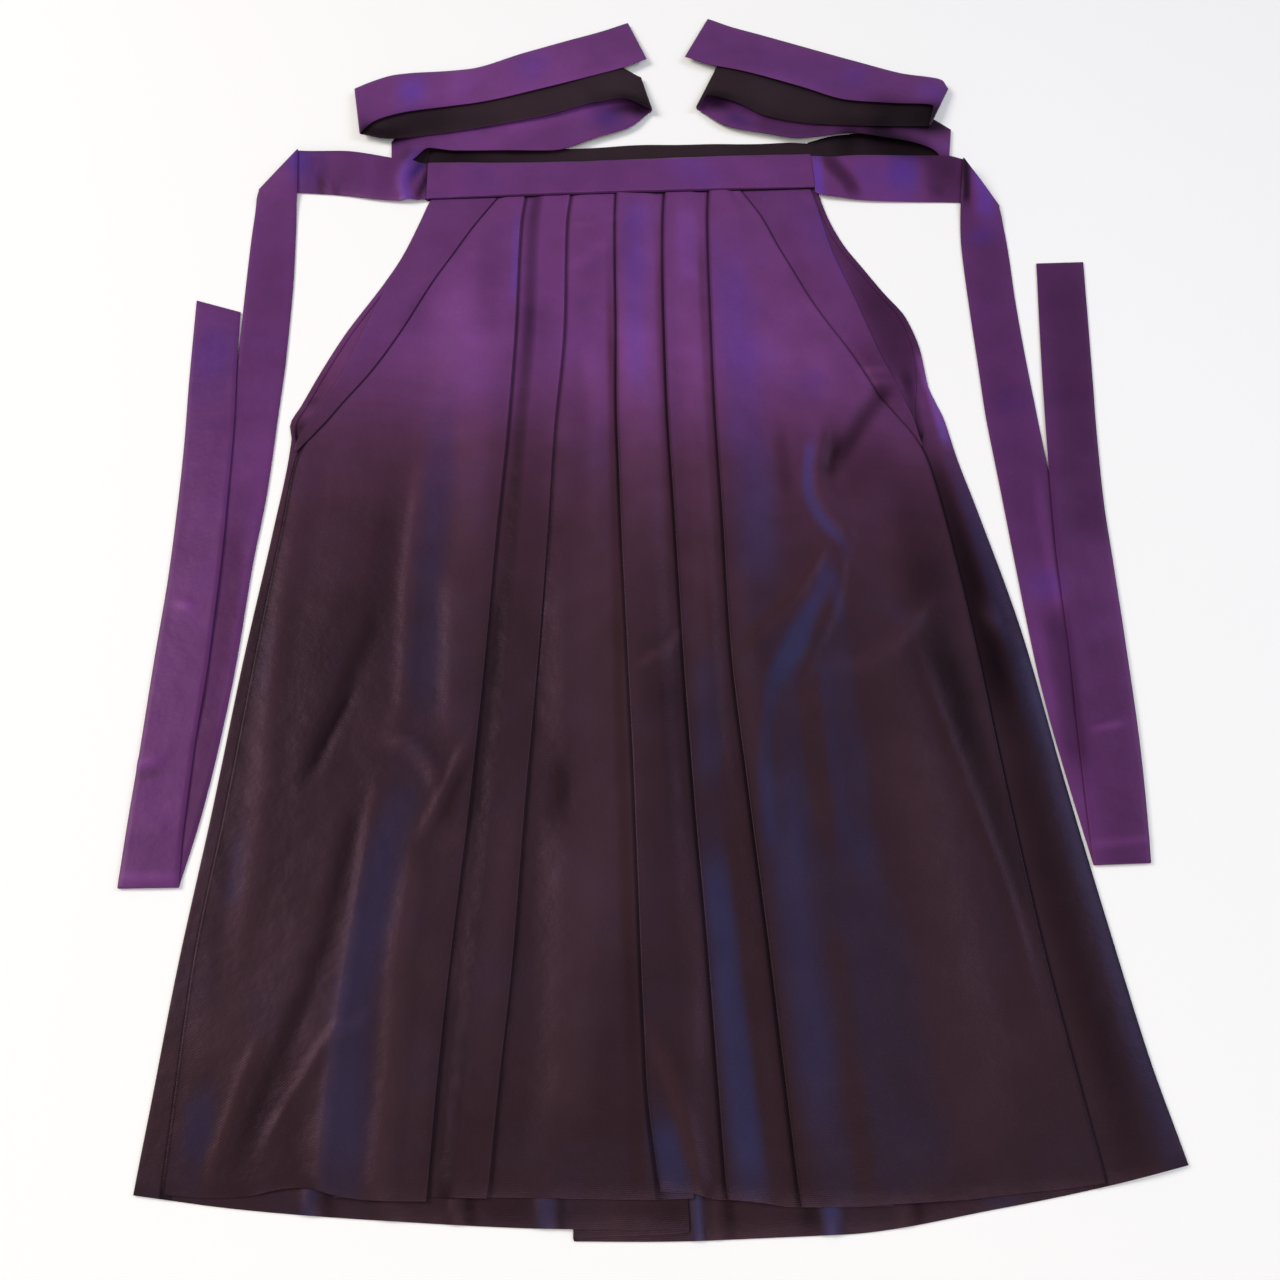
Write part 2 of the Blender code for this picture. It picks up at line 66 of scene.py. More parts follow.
# The scene's own cloth: thickness of the panels and of the ties, and the rise from layer to layer
CLOTH = 0.6
TIE_CLOTH = 1.1
LAYER = 0.9

# Underside of the front band, and how far both bands pass the ends of the waist
BAND_BOTTOM = 1.5
BAND_OVERLAP = 0.5

# Where the side folds end, and where the shade beside the left and right side seams starts
LEAF_END = {"left": 283.0, "right": 298.0}
SEAM_STARTS = (256, 280)

# Distance from row to row in a panel and in a tie
ROW_SPACING = 6.4
TIE_SPACING = 3

# Length above the hem within which the rows bend to the hem's line
HEM_BLEND = 90

# Half the floor's width and its level, in metres
FLOOR_HALF = 6
FLOOR_LEVEL = -0.0003

# The camera found from the photograph: place from the origin in metres, tilt and turn in degrees,
# focal length and picture width in pixels, sensor width in millimetres
CAMERA_PLACE = (-0.01779, -0.894, 0.8725)
CAMERA_TILT = 25.893
CAMERA_TURN = -2.295
FOCAL_PIXELS = 1233
PICTURE_WIDTH = 1280
SENSOR_WIDTH = 36

# Share of light lost in the gap beside a fold, and gained on the fold itself
GAP_LIGHT = -0.75
EDGE_LIGHT = 0.25


class Table:
    """Named columns against the first one, joined by smooth curves that don't overshoot."""

    def __init__(self, names, rows):
        self.names = names.split()
        data = np.array(rows, float)
        self.at = data[:, 0]
        self.values = data[:, 1:]
        step = np.diff(self.at)[:, None]
        slope = np.diff(self.values, axis=0) / step
        bend = np.zeros_like(self.values)
        same = slope[:-1] * slope[1:] > 0
        weight = (step[:-1] + 2 * step[1:], 2 * step[:-1] + step[1:])
        with np.errstate(divide="ignore", invalid="ignore"):
            mean = (weight[0] + weight[1]) / (weight[0] / slope[:-1] + weight[1] / slope[1:])
        bend[1:-1] = np.where(same, mean, 0)
        bend[0], bend[-1] = slope[0], slope[-1]
        self.bend = bend

    def __call__(self, at):
        at = np.clip(np.asarray(at, float), self.at[0], self.at[-1])
        i = np.clip(np.searchsorted(self.at, at, side="right") - 1, 0, len(self.at) - 2)
        step = (self.at[i + 1] - self.at[i])[..., None]
        t = (at[..., None] - self.at[i][..., None]) / step
        low, high = self.values[i], self.values[i + 1]
        out = low * (1 + 2 * t) * (1 - t) ** 2 + high * t * t * (3 - 2 * t)
        out += step * (self.bend[i] * t * (1 - t) ** 2 + self.bend[i + 1] * t * t * (t - 1))
        return SimpleNamespace(**{name: out[..., k] for k, name in enumerate(self.names)})


LEFT_SIDE = Table(
    "leaf line back wrap",
    [
        (0, -180, -117, -181.5, 5),
        (35, -191, -139, -192.5, 5),
        (70, -203.5, -158, -205, 5),
        (100, -216, -174.5, -219.5, 5),
        (160, -237, -203, -252.5, 5),
        (200, -251, -225, -270.5, 5),
        (235, -267.5, -249, -284.5, 5),
        (255, -276, -262, -292.5, 5),
        (270, -284, -272.5, -290, 5),
        (285, -287, -283, -290.5, 11.5),
        (360, -292, -290.5, -297.5, 13),
        (480, -303, -301.5, -310.5, 15),
        (600, -313, -311.5, -321, 15.5),
        (720, -323, -322, -333, 17),
        (HEM, -326, -325, -343, 24),
    ],
)
RIGHT_SIDE = Table(
    "leaf line back wrap",
    [
        (0, 181, 114.5, 186.5, 3),
        (35, 186.5, 131.5, 193, 4),
        (70, 191.5, 143, 204, 5),
        (100, 198, 154, 219, 5),
        (130, 206, 165, 234.5, 5),
        (160, 213, 178, 251, 5),
        (200, 222.5, 197, 258.8, 6),
        (235, 233.5, 211, 260, 9.5),
        (255, 238.5, 221, 264.5, 18),
        (270, 242.5, 229.5, 268.5, 23),
        (285, 244.5, 238.5, 270.5, 24.5),
        (310, 249, 247.5, 273.5, 34),
        (360, 255, 253.5, 282, 36.5),
        (480, 263, 261.5, 300, 46.5),
        (600, 267, 265.5, 310, 52.5),
        (720, 273, 271.5, 321.5, 58),
        (800, 279.5, 278, 330, 60),
        (HEM, 286.5, 285, 340.5, 63.5),
    ],
)
PLEATS = Table(
    "e1 e2 e3 e4 e5 d1 d2 d3 d4 d5",
    [
        (0, -92, -49, -4, 42, 84, 14, 22, 22, 20, 14),
        (35, -96, -53, -6, 39, 81, 24, 22, 22, 20, 24),
        (160, -100.5, -57, -9, 34, 76, 40, 22, 22, 20, 40),
        (270, -107, -66.5, -12, 32, 73, 45, 21, 22, 20, 45),
        (360, -114, -72, -12, 32.5, 72, 50, 21, 22, 20, 50),
        (480, -122, -80.5, -11, 32.5, 70, 55, 21, 22, 20, 55),
        (600, -132, -91, -10, 34, 74.5, 58, 21, 22, 21, 58),
        (720, -143.5, -100, -10, 37, 80, 60, 22, 23, 22, 60),
        (800, -150, -108.5, -9.5, 38, 83, 60, 21, 23, 24, 60),
        (HEM, -154, -115, -4, 39, 86, 60, 20, 22, 24, 60),
    ],
)
BACK_PLEAT = Table("left right", [(0, -24, -8), (360, -44, 2), (HEM, -60, 14)])
HEM_LINE = Table(
    "front back",
    [
        (-343, 855, 856),
        (-274, 860, 867),
        (-184, 865, 877),
        (-60, 871, 887),
        (30, 875, 890),
        (110, 880, 890),
        (214, 881, 879),
        (287, 875, 868.5),
        (343, 864, 858),
    ],
)

# Folds pressed or lying in the cloth: height, half width, turn of colour from painted blue sheen (1) to
# painted brown shade (-1) and share of light painted in, a highlight where gained and shade where lost,
# along points (x, down). Each weakens towards its ends.
Crease = namedtuple("Crease", "rise width tone light path")


def creases(rows):
    """Rows of the first four columns, then the points of the path."""
    return [Crease(*row[:4], row[4:]) for row in rows]


BODY_CREASES = creases([
    # left panel: broad rises, with painted highlights and patches of painted shade
    (3.0, 46, 0, 0.05, (-235, 330), (-240, 500), (-238, 700), (-250, 880)),
    (2.0, 20, 0, 0.24, (-152, 95), (-146, 150), (-148, 200), (-156, 270)),
    (0, 11, 0, -0.16, (-122, 25), (-124, 110), (-126, 180)),
    (0, 8, 0, -0.12, (-176, 100), (-204, 180)),
    (0, 3, 0.6, 0.2, (-99, 15), (-102, 130)),
    (0.8, 14, 0, 0.4, (-136, 225), (-137, 330), (-138, 420), (-141, 515)),
    (0, 10, 0, -0.28, (-205, 330), (-205, 420), (-210, 500)),
    (0, 13, -0.1, -0.4, (-254, 430), (-262, 520), (-263, 620), (-258, 700)),
    (0, 7, 0, -0.5, (-294, 380), (-301, 500), (-307, 600), (-313, 690)),
    (0, 16, 0, 0.12, (-128, 140), (-134, 240)),
    (0, 22, -0.1, -0.12, (-212, 240), (-205, 330), (-212, 430)),
    # left panel: long trough in painted blue sheen, with painted highlights on its rims
    (1.4, 6, 0, 0.36, (-178, 300), (-184, 400), (-184, 510), (-192, 548)),
    (0, 11, 0.4, 0, (-160, 230), (-164, 330), (-168, 430), (-170, 545)),
    (1.8, 9, 0, 0.22, (-148, 400), (-148, 480), (-146, 555)),
    (0, 10, 0, 0.22, (-138, 505), (-142, 552)),
    (2.4, 4, 0, 0.5, (-195, 546), (-184, 550), (-170, 560), (-159, 576), (-157, 590)),
    (2.0, 3.5, 0, 0.34, (-131, 545), (-142, 572), (-156, 604), (-168, 630)),
    (0, 6, -0.4, -0.4, (-138, 570), (-148, 602), (-152, 622)),
    (0, 13, 0.55, 0, (-180, 562), (-182, 600), (-192, 640), (-202, 700), (-208, 770), (-212, 880)),
    (0.8, 4, 0, 0.36, (-199, 570), (-207, 640), (-214, 720), (-221, 790), (-225, 890)),
    (1.8, 8, -0.1, 0.5, (-170, 622), (-173, 660), (-179, 710), (-181, 790), (-188, 880)),
    (0, 14, 0, 0.14, (-158, 630), (-160, 760), (-162, 860)),
    (0, 12, 0, 0.3, (-142, 600), (-146, 650)),
    (0, 9, 0, -0.24, (-141, 735), (-144, 800), (-148, 860)),
    (1.6, 3.5, 0, 0.3, (-232, 777), (-216, 757), (-192, 749)),
    (1.0, 3.5, 0, 0.05, (-262, 832), (-244, 800), (-226, 768)),
    (-1.4, 10, -0.2, -0.15, (-240, 790), (-236, 870)),
    # left panel: valleys in painted shade, and the hem corner with painted highlights and painted blue
    # sheen
    (-0.9, 9, -0.1, -0.25, (-203, 430), (-224, 500), (-252, 575)),
    (-0.8, 4, -0.1, -0.3, (-222, 505), (-236, 540), (-252, 578)),
    (-1.0, 10, -0.1, -0.62, (-211, 582), (-217, 640), (-228, 700), (-241, 745), (-262, 800), (-284, 868)),
    (0, 13, 0, -0.3, (-224, 400), (-234, 480), (-242, 600)),
    (1.2, 10, -0.15, 0.18, (-278, 330), (-284, 450), (-285, 600), (-292, 730)),
    (0, 7, 0.4, 0, (-292, 440), (-293, 510)),
    (0, 7, 0.4, 0, (-297, 610), (-299, 680)),
    (1.2, 16, -0.2, 0.25, (-292, 725), (-300, 790)),
    (0.8, 3.5, -0.6, 0.16, (-270, 760), (-282, 795), (-298, 855)),
    (0, 9, 0.6, -0.1, (-304, 785), (-308, 845)),
    # between the first and second pleat edges, and the centre: painted highlights on the rises, painted
    # shade in the dents and beside the third edge
    (0, 16, -0.1, -0.2, (-80, 110), (-82, 200)),
    (0, 14, -0.2, -0.1, (-88, 240), (-95, 380)),
    (0, 9, 0, 0.32, (-102, 590), (-110, 690), (-122, 800)),
    (0, 5, 0, -0.4, (-110, 420), (-118, 500), (-124, 570), (-130, 640)),
    (0.8, 1.8, 0, 0.3, (-47, 37), (-26, 36), (-5, 33)),
    (1.2, 6, 0, 0.15, (-52, 94), (-30, 75), (-4, 56)),
    (1.4, 10, 0.1, 0.2, (-34, 165), (-29, 200), (-26, 250), (-30, 390)),
    (0, 12, 0, -0.12, (-40, 105), (-42, 155)),
    (1.4, 22, 0, 0.5, (-28, 350), (-30, 450), (-28, 580), (-32, 680), (-44, 740)),
    (0, 10, 0, -0.15, (-32, 60), (-28, 90)),
    (0, 4, -0.8, -0.25, (-12, 60), (-15, 250), (-17, 400), (-19, 560), (-18, 860)),
    (1.6, 16, 0, 0.2, (-62, 400), (-56, 480), (-60, 560)),
    (-1.6, 9, -0.2, -0.4, (-70, 560), (-66, 585), (-63, 622)),
    (1.8, 15, 0, 0.42, (-57, 610), (-57, 700), (-62, 830)),
    # pleats of the right half: painted blue sheen, painted highlights on their folds, painted brown shade
    # beside the edges
    (0, 8, 0.55, 0.12, (10, 0), (8, 100), (6, 240)),
    (0, 9, 0.25, 0.12, (20, 0), (20, 120)),
    (0, 15, 0, 0.34, (4, 130), (6, 300), (8, 440)),
    (0, 9, 0, 0.06, (22, 20), (19, 250), (20, 430)),
    (0, 9, 0, 0.24, (44, 380), (43, 540)),
    (0, 8, 0, 0.28, (79, 400), (80, 540), (84, 610)),
    (0, 10, 0.3, 0.3, (60, 10), (58, 120)),
    (0.6, 11, -0.1, 0.2, (59, 110), (56, 300), (54, 520)),
    (0, 3.5, -0.5, -0.15, (32, 40), (29, 250), (28, 460)),
    (0, 8, 0, -0.24, (22, 490), (23, 640)),
    (1.6, 3, 0, 0.5, (-4, 494), (14, 484), (32, 464)),
    (0, 14, 0, 0.15, (12, 440), (12, 478)),
    (-0.8, 10, -0.2, -0.2, (10, 500), (14, 540)),
    (1.0, 6, -0.2, 0.2, (28, 670), (27, 740), (22, 800)),
    (1.4, 5, -0.5, 0.25, (-6, 765), (8, 800), (24, 868)),
    (0, 9, 0.9, 0, (-4, 815), (4, 850), (10, 880)),
    (0, 3.5, -0.5, -0.15, (72, 30), (68, 250), (66, 460)),
    (0.8, 9, 0.4, 0, (48, 480), (49, 540), (46, 600)),
    (1.0, 10, 1.0, 0.1, (44, 625), (47, 700), (52, 800), (57, 890)),
    (0.6, 8, -0.9, -0.1, (68, 540), (68, 650), (72, 740), (74, 810), (80, 890)),
    # right panel: broad rise and bands of painted blue sheen, painted brown shade and painted light
    (3.5, 50, 0, 0, (175, 130), (190, 330), (185, 520), (175, 720), (180, 880)),
    (0, 15, 0.5, 0.05, (96, 50), (97, 200), (100, 330), (96, 460)),
    (0, 22, 0.25, 0.15, (112, 165), (116, 235)),
    (0, 22, -0.2, 0.08, (160, 180), (165, 240)),
    (0, 9, 0.3, 0, (110, 480), (112, 660)),
    (0, 11, 0.4, 0.14, (100, 560), (100, 700), (106, 870)),
    (0, 6, 0.45, 0, (140, 480), (141, 660)),
    (0, 8, 0.38, 0, (154, 470), (155, 680)),
    (0.8, 6, -0.4, 0.1, (127, 500), (127, 640)),
    (0, 40, 0.35, 0, (112, 610), (125, 720), (146, 800), (156, 900)),
    (0.6, 7, -0.3, 0.04, (126, 690), (130, 890)),
    (0.8, 22, -0.2, 0.3, (196, 520), (203, 650), (212, 880)),
    (0, 22, -0.3, 0.2, (246, 760), (258, 800)),
    # right panel: streak of painted blue sheen, its ridge, diagonal of painted brown shade, upper streak
    # of painted sheen, valleys in painted shade, fold boundary
    (0, 6, 0.8, 0.08, (152, 395), (147, 430), (133, 456), (120, 482), (106, 503), (99, 520)),
    (0, 5, 0.6, 0, (100, 505), (94, 540), (89, 575), (86, 650)),
    (0, 9, 0.8, 0.15, (132, 452), (120, 482), (108, 508)),
    (2.0, 6, 0, 0, (168, 385), (158, 435), (146, 462), (131, 492), (117, 514), (110, 540)),
    (2.6, 5, -0.8, 0.15, (158, 384), (132, 425), (114, 447), (98, 462), (72, 486)),
    (0, 4, 0.6, 0, (157, 415), (158, 468)),
    (1.8, 7, -0.1, 0.25, (134, 490), (164, 500), (195, 482), (230, 446)),
    (0, 10, 0.35, 0.05, (202, 450), (220, 478)),
    (0, 22, -0.1, -0.2, (228, 400), (244, 450)),
    (1.1, 4.5, -0.1, 0.14, (212, 485), (226, 550), (240, 620), (254, 690), (262, 780)),
    (-0.6, 11, -0.3, -0.4, (232, 470), (244, 560), (254, 640), (264, 720)),
    (0, 4.5, 1.0, 0.2, (154, 284), (147, 315), (145, 345), (155, 372), (172, 398)),
    (2.6, 6, 0, 0, (168, 268), (157, 312), (156, 345), (168, 372), (182, 400)),
    (-1.6, 7, -0.3, -0.45, (173, 275), (167, 300), (161, 335)),
    (-2.2, 7, -0.3, -0.5, (226, 232), (206, 260), (186, 288), (168, 318)),
    (0, 20, -0.2, -0.28, (208, 270), (196, 320), (206, 360)),
    (0, 20, -0.2, -0.34, (236, 310), (234, 400), (228, 500), (236, 600)),
    (0, 13, -0.4, -0.2, (204, 170), (222, 225), (236, 270)),
    (0, 12, 0.3, 0.08, (172, 15), (184, 110)),
    (-1.4, 6, -0.2, -0.25, (126, 275), (127, 350)),
    (0, 12, 0.4, 0, (166, 205), (154, 245)),
    (1.0, 3, 0, 0.25, (198, 221), (228, 217)),
    (0.9, 3, 0, 0.2, (204, 233), (232, 229)),
    (0, 3, 0.8, 0.15, (186, 10), (192, 60), (204, 125)),
])
BACK_CREASES = creases([
    # right wrap: darker than the front under a broad painted shade, painted blue reflection on its outer
    # half, painted shade making its inner half near-black
    (0, 26, 0, -0.34, (266, 330), (284, 450), (294, 560), (304, 680), (318, 800), (330, 900)),
    (
        0, 9, 0.8, -0.05,
        (268, 285), (277, 360), (287, 440), (295, 520),
        (305, 600), (316, 700), (327, 800), (337, 890),
    ),
    (0, 7, 0.5, 0.3, (300, 490), (306, 540), (312, 590)),
    (0, 10, -0.4, -0.6, (248, 290), (259, 370), (267, 450), (272, 510), (276, 560)),
    (0, 9, -0.4, -0.2, (276, 560), (280, 620), (288, 720), (298, 800), (308, 900)),
    (0, 6, 0.4, 0.5, (272, 448), (282, 480)),
    # inside the right opening: painted shade, darkest beside the lower half of the fold, and painted blue
    # highlights on the wrap's fold
    (0, 28, -0.3, -0.42, (180, -80), (200, 20), (222, 100), (240, 180), (244, 260)),
    (0, 17, -0.1, -0.2, (220, 100), (233, 160), (241, 210), (243, 250)),
    (0, 5, 0, -0.42, (242, 216), (243.5, 245), (245, 305)),
    (0, 4, 0.4, 0.5, (257, 198), (259, 220), (260, 240)),
    (0, 4, 0.7, 0.8, (262, 225), (264, 262), (268, 300)),
    # inside the left opening: reddish, with two small folds at its foot in painted shade and painted
    # highlight, painted shade at the foot itself and beside the left edge lower down
    (0, 12, -0.5, 0.05, (-222, 115), (-248, 170), (-270, 215), (-284, 250)),
    (0, 2.5, 0, -0.35, (-268, 236), (-280, 226)),
    (0, 3, 0, 0.3, (-274, 246), (-283, 236)),
    (0, 4, 0, -0.7, (-282, 250), (-287, 266)),
    (0, 10, -0.2, -0.3, (-299, 390), (-308, 480), (-316, 570)),
    # hem of the back: small folds with painted highlights and painted blue sheen, painted shade between
    # them
    (1.8, 5, 0.5, 0.3, (-228, 830), (-230, 910)),
    (0, 4, 0, -0.5, (-217, 830), (-218, 910)),
    (1.0, 7, 0, 0.2, (-176, 830), (-178, 910)),
    (1.4, 3.5, 0.1, 0.35, (-134, 830), (-135, 910)),
    (-0.6, 4, -0.2, -0.6, (-126, 830), (-127, 910)),
    (1.8, 6, 0.6, 0.35, (-77, 830), (-78, 910)),
    (0, 3, 0, -0.5, (-67, 830), (-68, 910)),
    (0, 14, -0.2, -0.3, (-98, 830), (-100, 910)),
    (0, 8, 0, 0.25, (-35, 830), (-36, 910)),
    (0, 10, -0.2, -0.35, (2, 830), (4, 910)),
    (1.8, 3, 0.9, 0.6, (19, 830), (20, 910)),
    (0.8, 3, 0, 0.3, (31, 830), (32, 910)),
    (-0.6, 4, -0.3, -0.55, (39, 830), (40, 910)),
    (0, 16, 0, 0.12, (64, 830), (66, 910)),
    (0, 7, -0.3, -0.5, (91, 830), (92, 910)),
    (2.0, 5.5, 0.9, 0.5, (104, 830), (105, 910)),
    (0.8, 5, 0, 0.25, (150, 830), (153, 910)),
    (0, 3.5, -0.2, -0.55, (160, 830), (162, 910)),
    (0, 10, 0.4, 0, (214, 830), (216, 900)),
])
TIE_CREASES = creases([
    # left front tie: two steep ridges beside the band with painted highlights, valleys in painted blue
    # sheen and painted shade, then soft waves with painted light and shade
    (3.0, 5, 0.7, 0.4, (-194, -64), (-203, -40), (-207, -24), (-203, -2), (-201, 12)),
    (-1.2, 4, 1.0, -0.35, (-181, -62), (-188, -48), (-196, -34), (-200, -24)),
    (1.2, 3, -0.1, 0.1, (-186, -42), (-193, -24), (-197, -6), (-198, 8)),
    (-1.0, 3, -0.3, -0.6, (-181, -54), (-184, -34), (-188, -18), (-194, 2)),
    (0, 14, 0, -0.22, (-190, -60), (-192, -20), (-194, 10)),
    (-0.6, 8, -0.1, -0.1, (-226, 6), (-224, -60)),
    (0, 24, 0, -0.24, (-258, 10), (-262, -70)),
    (-0.6, 4, -0.3, -0.16, (-268, -2), (-272, -26)),
    (-0.8, 4, -0.3, -0.25, (-286, -6), (-284, -34)),
    (0, 12, 0.3, -0.26, (-294, 0), (-292, -70)),
    (0, 10, 0.8, -0.05, (-312, -64), (-304, -30)),
    (0.5, 10, 0.2, 0.04, (-345, 160), (-300, 172)),
    (0.5, 10, 0.2, -0.08, (-350, 330), (-308, 345)),
    (0.4, 8, 0.1, 0.1, (-380, 430), (-335, 445)),
    (0.4, 8, 0.1, -0.08, (-384, 250), (-340, 262)),
    (1.4, 3.5, 0, 0.5, (-370, 422), (-352, 431)),
    (1.4, 4, 0, 0.4, (-386, 562), (-362, 556)),
    (0, 3, -0.2, -0.2, (-384, 572), (-360, 566)),
    (0.6, 3, 0, 0.25, (-385, 646), (-336, 648)),
    (0, 14, 0, -0.18, (-385, 626), (-340, 628)),
    (0, 16, 0.5, -0.05, (-368, 130), (-364, 220)),
    (0, 22, 0, -0.14, (-326, 30), (-324, 120), (-322, 260)),
    (0, 34, 0, -0.12, (-380, 110), (-362, 300), (-352, 500), (-358, 668)),
    (0, 8, -0.6, -0.1, (-328, 320), (-328, 470), (-336, 650)),
    # right front tie: line of painted blue sheen beside the band, valley in painted shade, painted blue
    # sheen in the middle, painted shade in the corner and down its strips
    (1.6, 4, 1.0, 0.25, (189, 16), (189, -10), (192, -50)),
    (-1.6, 7, -0.5, -0.5, (193, -46), (205, -22), (218, -2), (224, 18)),
    (0, 14, 0.35, 0.08, (240, 18), (232, -34)),
    (0, 14, 0.9, -0.05, (268, 22), (272, -44)),
    (-0.8, 20, -0.5, -0.42, (310, 40), (312, -60)),
    (0, 6, 0, -0.2, (300, 18), (299, 0)),
    (0, 3.5, 0, -0.6, (326, 28), (332, -30)),
    (0.6, 8, 0.8, 0.3, (342, 50), (344, 10), (340, -20)),
    (0.5, 10, 0.6, 0, (352, 60), (318, 70)),
    (0.5, 12, 0.3, -0.06, (350, 250), (306, 260)),
    (0.5, 12, 0.5, 0.05, (350, 430), (306, 440)),
    (0.4, 10, 0.2, -0.08, (400, 250), (350, 262)),
    (0.4, 10, 0.3, 0.05, (384, 470), (334, 480)),
    (1.2, 3, 0, 0.4, (364, 556), (336, 562)),
    (1.0, 3, 0, 0.3, (366, 648), (318, 650)),
    (0, 26, -0.3, -0.46, (404, 60), (392, 200), (382, 300), (366, 440)),
    (0, 22, -0.3, -0.34, (360, 430), (356, 520), (350, 600), (338, 720)),
    (0, 22, 0, -0.32, (338, 0), (334, 100), (326, 250), (324, 470)),
    (0, 9, -0.2, -0.4, (328, 450), (326, 520), (322, 600)),
    (1.0, 4, 0, 0.22, (338, 330), (334, 400), (334, 470)),
    # back ties, upper strips: a broad painted highlight, painted blue sheen on the turns and painted
    # highlights on the edges of the folds
    (0, 40, 0, 0.3, (-250, -130), (-180, -150), (-60, -170), (10, -200)),
    (1.2, 12, 0.8, 0.05, (-206, -112), (-202, -172)),
    (0.8, 12, 0.1, 0.14, (-160, -120), (-150, -176)),
    (0.5, 14, 0.4, -0.05, (-90, -150), (-82, -200)),
    (0, 22, 0.1, -0.1, (70, -200), (170, -160), (280, -120)),
    (0.6, 12, 0.3, 0.05, (230, -120), (250, -170)),
    (0.5, 14, 0.5, 0.1, (300, -100), (324, -140)),
    # back ties, dark strips: painted highlight in the middle, painted shade, near black, inside the folds
    (1.0, 22, 0, 0.4, (-150, -98), (-90, -112), (-10, -140)),
    (0, 20, 0, 0.5, (-30, -134), (0, -142), (40, -156)),
    (-0.8, 16, 0, -0.55, (-140, -92), (-185, -98), (-225, -84), (-252, -92)),
    (0, 7, 0, -0.8, (-210, -84), (-240, -84), (-252, -100)),
    (0.8, 20, 0, 0.35, (100, -150), (150, -128), (190, -110)),
    (-0.8, 22, 0, -0.55, (230, -96), (300, -88)),
    (0, 16, 0, -0.9, (268, -84), (318, -86), (340, -110)),
    # back ties, lowest strips: painted shade, near black, inside the loops and beneath the strip above,
    # with painted highlights and blue sheen at the turns
    (0, 11, 0, -0.9, (-16, -116), (8, -117), (26, -112), (34, -132)),
    (0.6, 12, 0.6, -0.3, (2, -84), (-20, -116)),
    (0, 16, 0, 0.26, (-170, -66), (-110, -78)),
    (0, 12, 0, -0.4, (-214, -44), (-190, -66)),
    (0, 10, 0, -0.9, (74, -112), (98, -117), (124, -108)),
    (0.5, 12, 0.5, -0.3, (112, -80), (126, -100)),
    (0, 12, -0.2, -0.4, (120, -92), (176, -74), (214, -76)),
    (0, 12, -0.3, -0.45, (204, -80), (250, -73), (276, -70)),
    (0, 14, 0.3, 0.3, (312, -30), (322, -60)),
    # painted shade in the gap between the right back tie and the band
    (0, 16, 0, -0.55, (200, -58), (240, -52)),
    (0, 16, 0, -0.9, (232, -54), (262, -50), (312, -30)),
])
# the front band: painted blue sheen and painted highlights, a little painted shade near its middle
BAND_CREASES = creases([
    (0, 22, 0.2, 0.05, (-150, -6), (-110, -34)),
    (0, 16, 0, -0.08, (-20, -2), (-10, -44)),
    (0, 30, 0.3, 0.16, (50, -6), (90, -40)),
    (0, 24, 0, 0.12, (110, -4), (130, -40)),
])
# the back band's inner face: painted shade at its left, a painted highlight across its middle
BACK_BAND_CREASES = creases([
    (0, 26, 0, -0.8, (-210, -54), (-150, -52), (-110, -52)),
    (0, 20, 0, 0.3, (-80, -54), (0, -54), (140, -56)),
])

# The ties in stretches between their folds. A row holds the points x, y, z of both edges, with y up
# from the waist seam.
FRONT_TIE_LEFT = {
    "across": [
        (-184.6, 0.5, 3.2, -184.6, 45, 3.8),
        (-204, -1, 3, -204, 47, 6.5),
        (-228, 2, 2.4, -226, 51, 9),
        (-267, 10.5, 0.9, -266, 56.5, 12),
        (-309, 15.5, 0.7, -296, 57.5, 12),
        (-344.5, 18.5, 0.7, -308, 58.5, 12),
    ],
    "down": [
        (-344.5, 18.5, 2.3, -308, 58.5, 13.6),
        (-345.9, 8, 1.8, -308, 36, 8.4),
        (-346, -8, 0.6, -307.8, 10, 2.6),
        (-346.4, -45, 0.6, -305.5, -35, 0.6),
        (-345.8, -111, 0.6, -302.6, -111, 0.6),
        (-345, -180, 0.6, -302.2, -180, 0.6),
        (-346.5, -240, 0.6, -303.7, -240, 0.6),
        (-349, -320, 0.6, -306, -320, 0.6),
        (-355, -392, 0.6, -311.5, -392, 0.6),
        (-359, -475, 0.6, -315.5, -475, 0.6),
        (-365, -545, 0.6, -321.5, -545, 0.6),
        (-372, -601, 0.6, -328.6, -601, 0.6),
        (-382, -653, 0.6, -338.5, -654, 0.6),
    ],
    "up": [
        (-382, -653, 2.1, -338.5, -654, 2.1),
        (-381.6, -609, 2.1, -340, -612, 2.1),
        (-380.3, -549, 2.1, -339.5, -549, 2.4),
        (-379.5, -475, 1.7, -336.8, -475, 2.8),
        (-378, -400, 1.4, -336.6, -392, 2.8),
        (-379, -328, 1.2, -338.5, -305, 2.6),
        (-381, -270, 1.0, -340, -260, 2.4),
        (-384.5, -210, 0.8, -344.7, -184, 2.0),
        (-388.9, -113, 0.6, -347.6, -128.5, 0.8),
    ],
}
